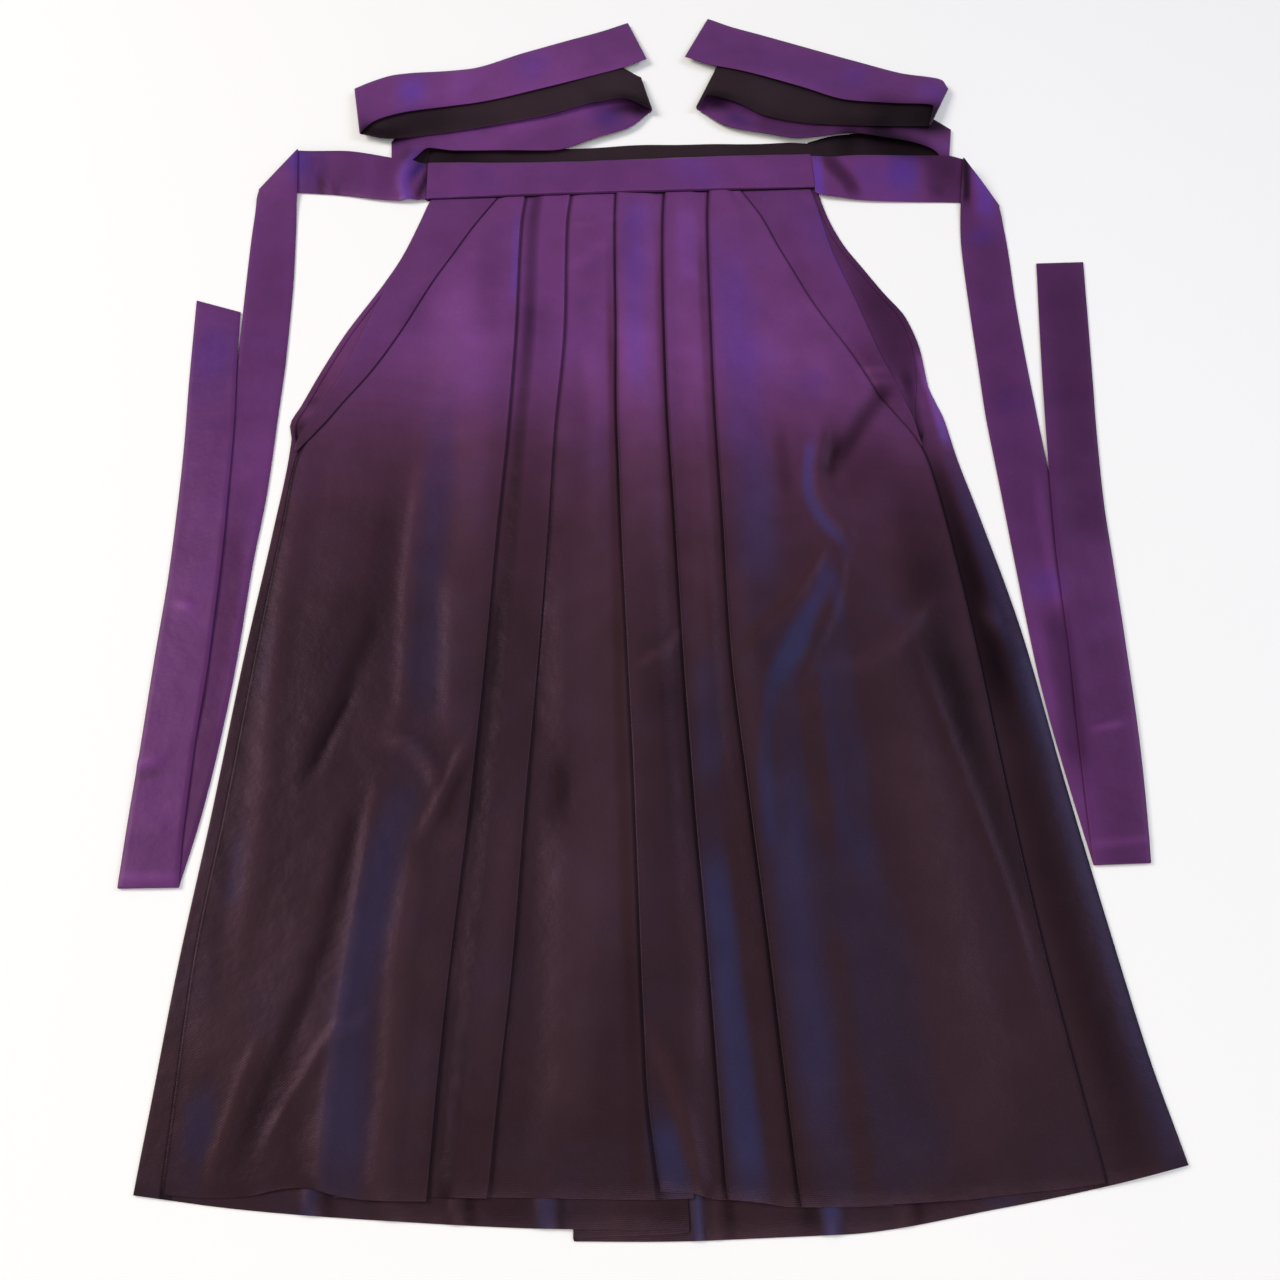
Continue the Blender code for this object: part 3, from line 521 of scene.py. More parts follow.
FRONT_TIE_RIGHT = {
    "across": [
        (184.6, -6, 3.8, 184.6, 40.5, 4.2),
        (189, -9.5, 3.8, 192, 37, 6.5),
        (204, -13, 3.6, 208, 33.5, 9),
        (235, -17.5, 2.0, 232, 32, 11),
        (278, -20, 0.9, 278, 28.5, 12),
        (320, -22, 0.7, 314, 27, 12),
        (356.5, -30, 0.7, 328, 22, 12),
    ],
    "down": [
        (356.5, -30, 2.3, 328, 22, 13.6),
        (357, -44, 1.8, 325, 1, 8.8),
        (357, -62, 0.6, 321, -24, 2.6),
        (355.9, -92, 0.6, 314, -76, 0.6),
        (352.5, -150, 0.6, 310, -150, 0.6),
        (350.5, -215, 0.6, 307.5, -215, 0.6),
        (349.5, -280, 0.6, 305.3, -280, 0.6),
        (349, -345, 0.6, 305.5, -345, 0.6),
        (349, -440, 0.6, 305.5, -440, 0.6),
        (349.5, -500, 0.6, 306, -500, 0.6),
        (350.5, -545, 0.6, 308, -545, 0.6),
        (355, -600, 0.6, 312.5, -600, 0.6),
        (360.5, -664, 0.6, 319, -664, 0.6),
    ],
    "up": [
        (360.5, -664, 2.1, 319, -664, 2.1),
        (366, -625, 2.1, 322, -625, 2.1),
        (372, -575, 2.1, 327, -565, 2.3),
        (379, -494, 1.7, 334, -492, 2.6),
        (385, -414, 1.4, 339, -418, 2.8),
        (388, -371, 1.2, 344.5, -365, 2.8),
        (396, -300, 1.0, 351.5, -306, 2.2),
        (406, -228, 0.8, 364, -212, 1.0),
        (423.5, -100, 0.6, 380, -100, 0.6),
    ],
}
BACK_TIE_LEFT = {
    "root": [
        (-184.6, 1.5, 0.6, -184.6, 72, 0.6),
        (-200, 8, 0.6, -205, 72, 0.6),
        (-217.5, 18.5, 0.6, -220.5, 78.5, 0.6),
    ],
    "first": [
        (-217.5, 18.5, 2.1, -220.5, 78.5, 2.1),
        (-197, 50, 5, -212, 98, 2.6),
        (-184, 64, 6, -196, 118, 2.6),
        (-159, 60, 5.5, -172, 119, 2.6),
        (-112, 59, 5, -124, 117, 2.6),
        (-65, 57, 5, -79, 115, 2.4),
        (-21, 72.5, 5, -36, 130, 2.1),
        (12, 86, 4.5, -2, 144, 2.1),
        (31, 106, 3, 24, 156, 2.1),
    ],
    "second": [
        (31, 106, 9, 24, 156, 4),
        (5, 121, 9, -4, 174, 4.4),
        (-20, 118, 8, -34, 172, 4.2),
        (-72, 102, 7, -84, 161, 4),
        (-144, 87, 7, -155, 146, 4),
        (-192, 79.5, 7, -200, 139, 4),
        (-222, 77, 7, -228, 137, 4),
        (-250, 85, 6, -260, 149, 4),
    ],
    "third": [
        (-250, 85, 9, -260, 149, 5.8),
        (-239, 99, 8.6, -246, 157, 5.8),
        (-213, 110, 8.2, -220, 167, 5.6),
        (-133, 122.5, 8, -150, 172, 5.4),
        (-72, 140, 7.6, -94, 194, 4.6),
        (-30, 154, 7.2, -50, 211, 4),
        (9, 168, 6.6, -10, 226, 3.4),
        (32, 180, 5.8, 15, 238, 2.6),
    ],
}
BACK_TIE_RIGHT = {
    "root": [
        (184.6, 1.5, 0.6, 184.6, 62, 0.6),
        (212, 4, 0.6, 213, 70, 0.6),
        (252, 9, 0.6, 255, 73, 0.6),
        (313.5, 14, 0.6, 325.5, 73, 0.6),
    ],
    "first": [
        (313.5, 14, 3, 325.5, 73, 2.1),
        (308, 38, 5, 312, 86, 2.4),
        (291, 50, 6.3, 295, 100, 2.4),
        (260, 60, 6.3, 268, 115, 2.4),
        (226, 67, 6.3, 238, 124, 2.4),
        (177, 62.5, 6, 196, 120, 2.4),
        (144, 71, 5.5, 160, 129, 2.2),
        (107, 83, 4.5, 120, 142, 2.1),
        (81, 108, 2.6, 104, 168, 2.1),
    ],
    "second": [
        (81, 108, 8.4, 104, 168, 4.2),
        (90, 122, 8.4, 115, 171, 4.4),
        (114, 114, 8, 134, 165, 4.2),
        (146, 92, 7.6, 168, 147, 4),
        (190, 79.5, 7.6, 208, 137, 4),
        (247, 74.5, 7.6, 258, 133, 4),
        (303, 72, 7.4, 330, 126, 4),
    ],
    "third": [
        (303, 72, 10, 330, 126, 5.8),
        (311, 97, 9.6, 327, 136, 5.8),
        (268, 104, 9, 286, 149, 5.6),
        (228, 110, 8.6, 254, 163, 5.4),
        (184, 131, 8, 210, 184, 4.8),
        (124, 158, 7.2, 148, 214, 3.8),
        (94, 168.5, 6.6, 121, 227, 3.2),
        (71, 182, 5.6, 98, 241, 2.6),
    ],
}


def step(x, start, end):
    """A soft step from 0 at start to 1 at end."""
    share = np.clip((x - start) / (end - start), 0, 1)
    return share * share * (3 - 2 * share)


def smooth_path(path, spacing=6):
    """The path's corners rounded, as points about a spacing apart."""
    points = np.array(path, float)
    points = np.vstack([2 * points[0] - points[1], points, 2 * points[-1] - points[-2]])
    out = []
    for i in range(1, len(points) - 2):
        a, b, c, d = points[i - 1 : i + 3]
        count = max(2, int(np.hypot(*(c - b)) / spacing))
        for t in np.linspace(0, 1, count, endpoint=False):
            square, cube = 2 * a - 5 * b + 4 * c - d, 3 * b - a - 3 * c + d
            out.append(0.5 * (2 * b + (c - a) * t + square * t * t + cube * t**3))
    out.append(points[-2])
    return np.array(out)


def field(creases, x, y):
    """Height, painted sheen and shade, and painted light of the creases at points (x, y), y counted up
    from the waist seam.
    """
    rise, tone, light = np.zeros_like(x), np.zeros_like(x), np.zeros_like(x)
    down = -y
    for crease in creases:
        path = smooth_path(crease.path)
        reach = 2.6 * crease.width
        near = (x > path[:, 0].min() - reach) & (x < path[:, 0].max() + reach)
        near &= (down > path[:, 1].min() - reach) & (down < path[:, 1].max() + reach)
        if not near.any():
            continue
        px, py = x[near], down[near]
        best = np.full(px.shape, 1e9)
        place = np.zeros(px.shape)
        length = np.concatenate([[0], np.cumsum(np.hypot(*np.diff(path, axis=0).T))])
        for k in range(len(path) - 1):
            a, b = path[k], path[k + 1]
            along = b - a
            t = np.clip(((px - a[0]) * along[0] + (py - a[1]) * along[1]) / (along @ along), 0, 1)
            away = np.hypot(px - a[0] - t * along[0], py - a[1] - t * along[1])
            closer = away < best
            best[closer] = away[closer]
            place[closer] = (length[k] + t * (length[k + 1] - length[k]))[closer]
        total = length[-1]
        fade_length = min(total / 2, max(2.5 * crease.width, 0.18 * total))
        fade = step(place, 0, fade_length) * (1 - step(place, total - fade_length, total))
        fade = 0.25 + 0.75 * fade
        rise[near] += crease.rise * np.exp(-((best / crease.width) ** 2)) * fade
        band = np.exp(-((best / (1.15 * crease.width)) ** 3)) * fade
        tone[near] += crease.tone * band
        light[near] += crease.light * band
    return rise, tone, light


def body_field(x, y):
    """Relief of the front's stack of cloth, none at the waist seam."""
    rise, tone, light = field(BODY_CREASES, x, y)
    wave = 0.35 * np.sin(x / 23 + 0.7 * np.sin(y / 61)) * np.sin(y / 47 + 1.3 * np.sin(x / 71))
    rise = (rise + wave + 0.3) * step(-y, 2, 40)
    rise = 0.5 * (rise + np.sqrt(rise * rise + 0.3)) - 0.27
    return np.maximum(rise, 0), tone, light


class Section:
    """The middle line of a wall for every row at once, with each point's light, its share of the
    creases' height (lift, none where the cloth is hidden under a fold) and how far its hem hangs."""

    def __init__(self, x, z, light=0.0):
        self.x, self.z, self.light, self.lift, self.drops = [x + 0 * z], [z + 0 * x], [light], [1.0], []

    def add(self, x, z, light, lift):
        self.x.append(x + 0 * self.x[0])
        self.z.append(z + 0 * self.x[0])
        self.light.append(light)
        self.lift.append(lift)

    def to(self, x, z=None, count=1, light=0.0, lift=1.0):
        """A straight run to x, keeping the level unless one is given."""
        x0, z0 = self.x[-1], self.z[-1]
        z = z0 if z is None else z
        for t in np.linspace(0, 1, count + 1)[1:]:
            self.add(x0 + t * (x - x0), z0 + t * (z - z0), light, lift)

    def ease(self, x, z, count=8, light=0.0):
        """A run to x whose level changes softly."""
        x0, z0 = self.x[-1], self.z[-1]
        for t in np.linspace(0, 1, count + 1)[1:]:
            self.add(x0 + t * (x - x0), z0 + t * t * (3 - 2 * t) * (z - z0), light * sin(pi * t), 1.0)

    def turn(self, x, z, outward, light=0.0, lifts=(0.0, 0.0), steps=6):
        """A half-round fold from the last level to z, whose outermost point is at x."""
        z0 = self.z[-1]
        radius = np.abs(z - z0) / 2
        for angle in np.linspace(0, pi, steps + 1)[1:]:
            level = (z + z0) / 2 + (z0 - z) / 2 * cos(angle)
            lift = lifts[0] + (lifts[1] - lifts[0]) * angle / pi
            self.add(x - outward * radius * (1 - sin(angle)), level, light, lift)

    def hang(self, drop, back=0):
        """Notes how much lower the hem is here, or some points back."""
        self.drops.append((len(self.x) - 1 - back, drop))

    def grid(self):
        x, z = np.stack(self.x, 1), np.stack(self.z, 1)
        light = np.stack([value + 0 * self.x[0] for value in self.light], 1)
        lift = np.tile(self.lift, (len(x), 1))
        drops = Table("drop", self.drops or [(0, 0), (1, 0)])
        return x, z, light, lift, drops(np.arange(x.shape[1])).drop


def front_ride(x, down):
    """How much the front is lifted by what lies under it."""
    left, right, pleat = LEFT_SIDE(down), RIGHT_SIDE(down), BACK_PLEAT(down)
    on_pleat = step(x, pleat.left - 34, pleat.left - 9) - step(x, pleat.right + 3, pleat.right + 28)
    on_left = step(down, 252, 266) * (1 - step(x, left.line + 8, left.line + 30))
    on_right = step(x, right.line - 46, right.line - 17)
    return 2 * LAYER * on_pleat + LAYER * (on_left + on_right)


def front_section(down):
    """Left edge, two pleats facing right, the middle, three pleats facing left, right edge."""
    p, left, right = PLEATS(down), LEFT_SIDE(down), RIGHT_SIDE(down)
    low, middle, top = (np.full_like(down, k * LAYER) for k in range(3))
    hidden = np.maximum(left.line - 12, left.back + left.wrap + 3)
    start = left.line + (1 - step(down, 268, 284)) * (hidden - left.line)
    s = Section(start, low, GAP_LIGHT)
    s.to(start + 0.4, light=GAP_LIGHT)
    s.to(start + 1.5, light=GAP_LIGHT)
    s.to(start + 3.2)
    s.hang(0)
    root = p.e1 - p.d1
    s.to(np.maximum(root - 45, start + 3.3 + 0.3 * (root - start)), count=24)
    s.hang(1.0, 13)
    s.hang(-0.8, 4)
    s.ease(root - 1, top, 14)
    s.hang(-6.2, 8)
    s.hang(-6.4, 5)
    s.hang(-2.6)
    s.to(p.e1 - 3, count=16)
    s.hang(0.4, 9)
    s.hang(0.7)
    for edge, root, following in ((p.e1, p.e1 - p.d1, p.e2 - p.d2), (p.e2, p.e2 - p.d2, None)):
        s.to(edge - 0.65, light=0.1)
        s.turn(edge, middle, 1, EDGE_LIGHT, (1, 0))
        s.to(root + 0.65, count=3, lift=0)
        s.turn(root, low, -1)
        s.to(edge + 0.6, count=3, lift=0)
        s.hang(-2.2)
        s.to(edge + 1.9, light=GAP_LIGHT, lift=0.7)
        s.to(edge + 4.4, light=-0.1)
        if following is not None:
            s.ease(following - 1, top, 7, light=-0.5)
            s.to(p.e2 - 3, count=6)
            s.hang(-1.5)
    s.to(p.e3 - 3.6, count=32)
    s.hang(-1.2)
    s.to(p.e3 - 1.8, light=GAP_LIGHT)
    s.to(p.e3 - 0.8, light=GAP_LIGHT)
    s.to(p.e3 + p.d3 - 0.65, count=3, lift=0)
    for edge, depth, following, next_depth, drops in (
        (p.e3, p.d3, p.e4, p.d4, (-7.5, -1.6)),
        (p.e4, p.d4, p.e5, p.d5, (-1.6, 1.2)),
        (p.e5, p.d5, None, None, (0.8, 0)),
    ):
        s.turn(edge + depth, middle, 1)
        s.to(edge + 0.65, count=3, lift=0)
        s.turn(edge, top, -1, -0.4, (0, 1))
        s.hang(drops[0])
        s.to(edge + 2.5)
        s.to(edge + depth + 1, count=6 if following is not None else 14)
        if following is not None:
            s.ease(following - 5, low, 8, light=0.06)
            s.hang(drops[1])
            s.to(following - 3.4, light=-0.2)
            s.to(following - 1.9, light=GAP_LIGHT, lift=0.7)
            s.to(following - 0.8, light=GAP_LIGHT, lift=0.7)
            s.to(following + next_depth - 0.65, count=4, lift=0)
    s.ease(np.minimum(p.e5 + p.d5 + 46, right.line - 8), low, 16)
    s.hang(-1)
    s.to(right.line - 3, count=30)
    s.hang(-3, 18)
    s.hang(-1.5)
    s.to(right.line - 1.2, light=-0.2)
    s.to(right.line - 0.4, light=GAP_LIGHT)
    s.to(right.line, light=GAP_LIGHT)
    x, z, light, lift, drop = s.grid()
    return x, z + FLOOR_LAYER + LAYER + front_ride(x, down[:, None]), light, lift, drop


def back_section(down):
    """Left wrap, floor with its one pleat, right wrap."""
    left, right, pleat = LEFT_SIDE(down), RIGHT_SIDE(down), BACK_PLEAT(down)
    floor, wrap, inner = (np.full_like(down, FLOOR_LAYER + k * LAYER) for k in range(3))
    left_seam, right_seam = (GAP_LIGHT * step(down, start, start + 12) for start in SEAM_STARTS)
    s = Section(left.back + left.wrap, wrap, left_seam)
    s.to(left.back + left.wrap - 0.4, light=left_seam)
    beside = np.clip(left.line, left.back + 3.4, left.back + left.wrap - 0.8)
    s.to(beside - 0.9, light=left_seam)
    s.to(beside - 2.2)
    s.to(left.back + 0.65, count=4)
    s.turn(left.back, floor, -1, 0, (1, 1), 8)
    s.to(pleat.left - 16, count=76)
    s.ease(pleat.left - 4, inner, 5)
    s.to(pleat.right - 0.65, count=8)
    s.hang(0)
    s.turn(pleat.right, wrap, 1)
    s.to(pleat.left + 0.65, count=6)
    s.turn(pleat.left, floor, -1)
    s.hang(7)
    s.to(right.back - 0.65, count=110)
    s.turn(right.back, wrap, 1, 0, (1, 1), 8)
    beside = np.clip(right.line, right.back - right.wrap + 1, right.back - 2.4)
    s.to(beside + 2.6, count=24)
    s.to(beside + 1.0, light=right_seam)
    s.to(right.back - right.wrap + 0.4, count=2, light=right_seam)
    s.to(right.back - right.wrap, light=right_seam)
    return s.grid()


def add_object(name, data):
    made = bpy.data.objects.new(name, data)
    bpy.context.scene.collection.objects.link(made)
    return made


def wall(name, points, thickness, tone, light, slots=(0, 0), edge=0.45):
    """A closed shell on a grid of middle points (rows, columns, 3), thinner at its rim."""
    rows, columns = points.shape[:2]
    across = np.gradient(points, axis=1)
    along = np.gradient(points, axis=0)
    normal = np.cross(across, along)
    normal /= np.linalg.norm(normal, axis=2, keepdims=True)
    half = np.full((rows, columns, 1), thickness / 2)
    half[0] *= edge
    half[-1] *= edge
    half[:, 0] *= edge
    half[:, -1] *= edge
    both = np.concatenate([(points + side * half * normal).reshape(-1, 3) for side in (1, -1)])
    count = rows * columns
    a = (np.arange(rows - 1)[:, None] * columns + np.arange(columns - 1)).ravel()
    over = np.stack([a, a + 1, a + columns + 1, a + columns], 1)
    under = count + over[:, ::-1]
    rim = []
    for line in (
        np.arange(columns),
        np.arange(columns)[::-1] + count - columns,
        np.arange(rows)[::-1] * columns,
        np.arange(rows) * columns + columns - 1,
    ):
        rim += [(b, a, a + count, b + count) for a, b in zip(line[:-1], line[1:])]
    faces = np.concatenate([over, under, np.array(rim)])
    mesh = bpy.data.meshes.new(name)
    world = both / 1000
    world[:, 0] += ORIGIN[0]
    world[:, 1] += ORIGIN[1]
    mesh.from_pydata(world.tolist(), [], faces.tolist())
    a, b, c, d = (world[faces[:, k]] for k in range(4))
    volume = np.einsum("ij,ij->i", a, np.cross(b, c)).sum()
    volume += np.einsum("ij,ij->i", a, np.cross(c, d)).sum()
    made = add_object(name, mesh)
    corner = faces.ravel() % count
    layer = mesh.uv_layers.new(name="cloth")
    flat_uv = (cloth_uv(points).reshape(-1, 2) / 1000)[corner]
    layer.data.foreach_set("uv", flat_uv.astype(np.float32).ravel())
    set_marks(mesh, np.tile(tone.ravel(), 2), np.tile(light.ravel(), 2))
    index = np.repeat([slots[0], slots[1]], [len(over), len(under) + len(rim)])
    mesh.polygons.foreach_set("material_index", index.astype(np.int32))
    mesh.polygons.foreach_set("use_smooth", np.ones(len(faces), bool))
    if volume < 0:
        mesh.flip_normals()
    mesh.set_sharp_from_angle(angle=radians(50))
    mesh.update()
    return made


# Painted sheen and shade (blue above zero, brown below) and painted light, stored on each point
def set_marks(mesh, tone, light):
    for name, values in (("tone", np.clip(tone, -1, 1)), ("light", np.clip(light, -0.9, 0.9))):
        attribute = mesh.attributes.new(name, "FLOAT", "POINT")
        attribute.data.foreach_set("value", values.astype(np.float32))


def cloth_uv(points):
    """Distances across and along the grid, in millimetres."""
    rows, columns = points.shape[:2]
    across = np.cumsum(np.linalg.norm(np.diff(points, axis=1), axis=2), axis=1)
    along = np.cumsum(np.linalg.norm(np.diff(points, axis=0), axis=2), axis=0)
    u = np.concatenate([np.zeros((rows, 1)), across], 1)
    v = np.concatenate([np.zeros((1, columns)), along], 0)
    return np.stack([u, v], 2)


def stations(end, last=()):
    """Rows down the cloth to just short of end, with the last ones given."""
    fine = np.arange(0, end, ROW_SPACING)
    return np.unique(np.concatenate([fine, last]))


def body_points(section, column):
    """The grid of one body panel, its last rows following the hem line."""
    down = np.concatenate([stations(HEM - 6), [HEM - 0.4, HEM]])
    x, z, light, lift, drop = section(down)
    y = -np.maximum(down, 0.3)[:, None] + 0 * x
    hem = getattr(HEM_LINE(x[-1]), column) + drop
    y = y - step(down, HEM - HEM_BLEND, HEM)[:, None] * (hem - HEM)[None, :]
    return x, y, z, light, lift


def build_front():
    x, y, z, light, lift = body_points(front_section, "front")
    rise, tone, more_light = body_field(x, y)
    points = np.stack([x, y, z + rise * lift], 2)
    return wall("front_cloth", points, CLOTH, tone, light + more_light)


def strip_puff(x, down):
    """How far the back's cloth stands up where it wraps onto the front, most near its middle."""
    right = RIGHT_SIDE(down)
    share = np.clip((right.back - x) / np.maximum(right.back - right.line, 1), 0, 1)
    return 3.2 * np.sin(pi * share**0.7) * step(down, 300, 420) * (1 - 0.5 * step(down, 780, HEM))


def build_back():
    x, y, z, light, _ = body_points(back_section, "back")
    on_strip = (z > 0.6) & (x > 240)
    down = -y
    more, tone, more_light = field(BACK_CREASES, x, y)
    at_hem = step(down, HEM - 50, HEM) * (z < 2)
    rise = np.where(on_strip, strip_puff(x, down) + more, more * at_hem * (x < 240))
    wave = 0.25 * np.sin(x / 17) * np.sin(y / 37)
    rise += np.where(on_strip, np.maximum(wave, 0) * step(down, 300, 400), 0)
    points = np.stack([x, y, z + np.maximum(rise, 0)], 2)
    return wall("back_cloth", points, CLOTH, tone, light + more_light)


def build_side_fold(side):
    """The long fold beside an opening: over the front on the left, under it on the right."""
    end = LEAF_END[side]
    down = stations(end - 4, (end - 0.4, end))
    if side == "left":
        place = LEFT_SIDE(down)
        s = Section(place.leaf, FLOOR_LAYER + LAYER * (2 + step(down, 250, 262)))
        s.to(place.leaf + 0.4)
        s.to(place.line - 1.6, count=12)
        s.to(place.line - 0.4, light=GAP_LIGHT)
        s.to(place.line, light=GAP_LIGHT)
    else:
        place = RIGHT_SIDE(down)
        s = Section(place.line - 14, np.full_like(down, FLOOR_LAYER + LAYER))
        s.to(place.line - 13.6)
        s.to(place.line + 0.3, count=2, light=GAP_LIGHT)
        s.to(place.line + 1.2, light=-0.3)
        s.to(place.line + 2.5)
        s.to(place.leaf - 0.4, count=12)
        s.to(place.leaf)
    x, z, light, _, _ = s.grid()
    y = -np.maximum(down, 0.3)[:, None] + 0 * x
    rise, tone, more_light = body_field(x, y)
    if side == "right":
        rise *= step(x, place.line[:, None] + 1, place.line[:, None] + 10)
    points = np.stack([x, y, z + rise], 2)
    return wall(f"side_fold_{side}_cloth", points, CLOTH, tone, light + more_light - 0.14)


def build_front_band():
    """The waistband as a closed tube with soft edges, fullest in the middle of its length."""
    columns, ring = 74, 40
    x = np.linspace(-HALF_WAIST - BAND_OVERLAP, HALF_WAIST + BAND_OVERLAP, columns)[:, None]
    angle = (np.arange(ring) + 0.5) / ring * 2 * pi
    share = np.sign(np.cos(angle)) * np.abs(np.cos(angle)) ** 0.35
    lift = np.sign(np.sin(angle)) * np.abs(np.sin(angle)) ** 0.55
    top = BAND_TOP_AT_ENDS + BAND_CROWN * (1 - (x / HALF_WAIST) ** 2)
    top = top + 0.35 * np.sin(x / 9 + np.sin(x / 31)) * np.sin(x / 23)
    y = 0.3 + (BAND_HEIGHT - 0.3) * (0.5 + 0.5 * share)[None, :] + 0 * x
    top_edge = 4.2 * step(-x, 90, HALF_WAIST) - 1.4 * np.exp(-(((x + 30) / 70) ** 2)) + step(x, 60, 150)
    y += top_edge * (share > 0)[None, :]
    z = (BAND_BOTTOM + top) / 2 + (top - BAND_BOTTOM) / 2 * lift[None, :]
    _, tone, light = field(BAND_CREASES, x + 0 * y, y)
    points = np.stack([x + 0 * y, y, z], 2)
    points[[0, -1], :, 2] = (points[[0, -1], :, 2] - 3.4) * 0.8 + 3.4
    faces = []
    for i in range(columns - 1):
        for j in range(ring):
            a, b = i * ring + j, i * ring + (j + 1) % ring
            faces.append((a, b, b + ring, a + ring))
    faces.append(tuple(range(ring))[::-1])
    faces.append(tuple((columns - 1) * ring + j for j in range(ring)))
    mesh = bpy.data.meshes.new("front_band_cloth")
    world = points.reshape(-1, 3) / 1000 + np.array([*ORIGIN, 0])
    mesh.from_pydata(world.tolist(), [], faces)
    mesh.polygons.foreach_set("use_smooth", np.ones(len(faces), bool))
    mesh.set_sharp_from_angle(angle=radians(60))
    layer = mesh.uv_layers.new(name="cloth")
    places = [mesh.loops[k].vertex_index for k in range(len(mesh.loops))]
    layer.data.foreach_set("uv", world[places][:, :2].astype(np.float32).ravel())
    set_marks(mesh, tone.ravel(), light.ravel())
    return add_object("front_band_cloth", mesh)


def build_back_band():
    x = np.linspace(-HALF_WAIST - BAND_OVERLAP, HALF_WAIST + BAND_OVERLAP, 60)[:, None]
    y = np.array([0, 0.5, 10, 20, 30, 38, 44, 49, 54, 58, 61.4, BACK_BAND_HEIGHT])[None, :] + 0 * x
    lift = step(y, 44, 58) * (1.0 + 0.8 * np.sin(x / 33 + 1.2) + 0.4 * np.sin(x / 12))
    y = y + step(y, 40, BACK_BAND_HEIGHT) * (1.2 * np.sin(x / 52 + 0.5) + 7.5 * step(-x, 45, 95))
    ends = step(HALF_WAIST - np.abs(x), 0, 20)
    z = 0.6 + np.maximum(lift, 0) * ends
    points = np.stack([x + 0 * y, y, z], 2)
    _, tone, light = field(BACK_BAND_CREASES, points[..., 0], points[..., 1])
    return wall("back_band_cloth", points, TIE_CLOTH, tone, light)


def run_lengths(points):
    """Distance from the first point to each one."""
    return np.concatenate([[0], np.cumsum(np.linalg.norm(np.diff(points, axis=0), axis=1))])


def densify(values, spacing):
    """Smooth curves through one stretch of a tie's rows."""
    values = np.array(values, float)
    middle = (values[:, :3] + values[:, 3:]) / 2
    length = run_lengths(middle)
    table = Table("c0 c1 c2 c3 c4 c5", np.column_stack([length, values]))
    at = np.unique(np.concatenate([np.arange(0, length[-1], spacing), [length[-1]]]))
    if at[-1] - at[-2] < spacing / 2:
        at = np.delete(at, -2)
    found = table(at)
    return np.stack([getattr(found, f"c{k}") for k in range(6)], 1)


def build_tie(name, stretches, slots, columns=16):
    """One tie's shell, with a half-round fold between each stretch and the next."""
    rows = []
    for stretch in stretches.values():
        dense = densify(stretch, TIE_SPACING)
        if rows:
            last, first = rows[-1], dense[0]
            travel = (last[:3] + last[3:] - rows[-2][:3] - rows[-2][3:])[:2]
            width = (last[3:] - last[:3])[:2]
            out = np.array([width[1], -width[0]]) / np.hypot(*width)
            out *= np.sign(out @ travel)
            for i in range(1, 8):
                angle = pi * i / 8
                arc = last.copy()
                for k in (0, 3):
                    radius = (first[k + 2] - last[k + 2]) / 2
                    arc[k : k + 2] = last[k : k + 2] + radius * sin(angle) * out
                    arc[k + 2] = last[k + 2] + radius * (1 - cos(angle))
                rows.append(arc)
        rows += list(dense)
    rows = np.array(rows)
    start, end = rows[0].copy(), rows[-1].copy()
    rows = np.vstack([start[None], rows, end[None]])
    rows[1, [0, 3]] += np.sign(rows[2, [0, 3]] - rows[1, [0, 3]]) * 0.4
    tip = rows[-2] - rows[-3]
    tip /= np.linalg.norm(tip[:3])
    rows[-2] = rows[-1] - 0.4 * tip
    across = np.concatenate([[0, 0.012], np.linspace(0.1, 0.9, columns - 4), [0.988, 1]])
    points = rows[:, None, :3] + across[None, :, None] * (rows[:, None, 3:] - rows[:, None, :3])
    rise, tone, light = field(TIE_CREASES, points[..., 0], points[..., 1])
    length = run_lengths(points.mean(1))
    wave = 0.3 * np.sin(length / 19 + 2 * np.sin(length / 57))[:, None] * np.sin(pi * across)[None, :]
    settle = step(length, 2, 14)[:, None] * (1 - step(length, length[-1] - 4, length[-1]))[:, None]
    points[..., 2] += np.maximum(rise + 0.3 + wave, 0) * settle * 0.8
    return wall(name, points, TIE_CLOTH, tone, light, slots)


def srgb(text):
    """A colour given as six hexadecimal digits, in linear light."""
    parts = [int(text[i : i + 2], 16) / 255 for i in (0, 2, 4)]
    return (*[v / 12.92 if v < 0.04045 else ((v + 0.055) / 1.055) ** 2.4 for v in parts], 1)


# Colours down the cloth by distance below the waist seam
OMBRE = [
    (-60, "67376E"),
    (100, "67376E"),
    (190, "693971"),
    (240, "5E3360"),
    (300, "4A2A43"),
    (380, "3A2330"),
    (470, "301F27"),
    (870, "2A1C20"),
]
# Painted blue sheen and painted brown shade of the ombre cloth, down its length
OMBRE_BLUE_SHEEN = [(190, "54337D"), (330, "3A2E57"), (470, "282743")]
OMBRE_BROWN_SHADE = [(190, "582B4B"), (330, "3C222E"), (470, "2D1C1E")]
PURPLE = [(0, "62336A")]
# Painted blue sheen and painted brown shade of the purple cloth
PURPLE_BLUE_SHEEN = [(0, "523184")]
PURPLE_BROWN_SHADE = [(0, "4C2447")]
DARK = [(0, "231A1E")]


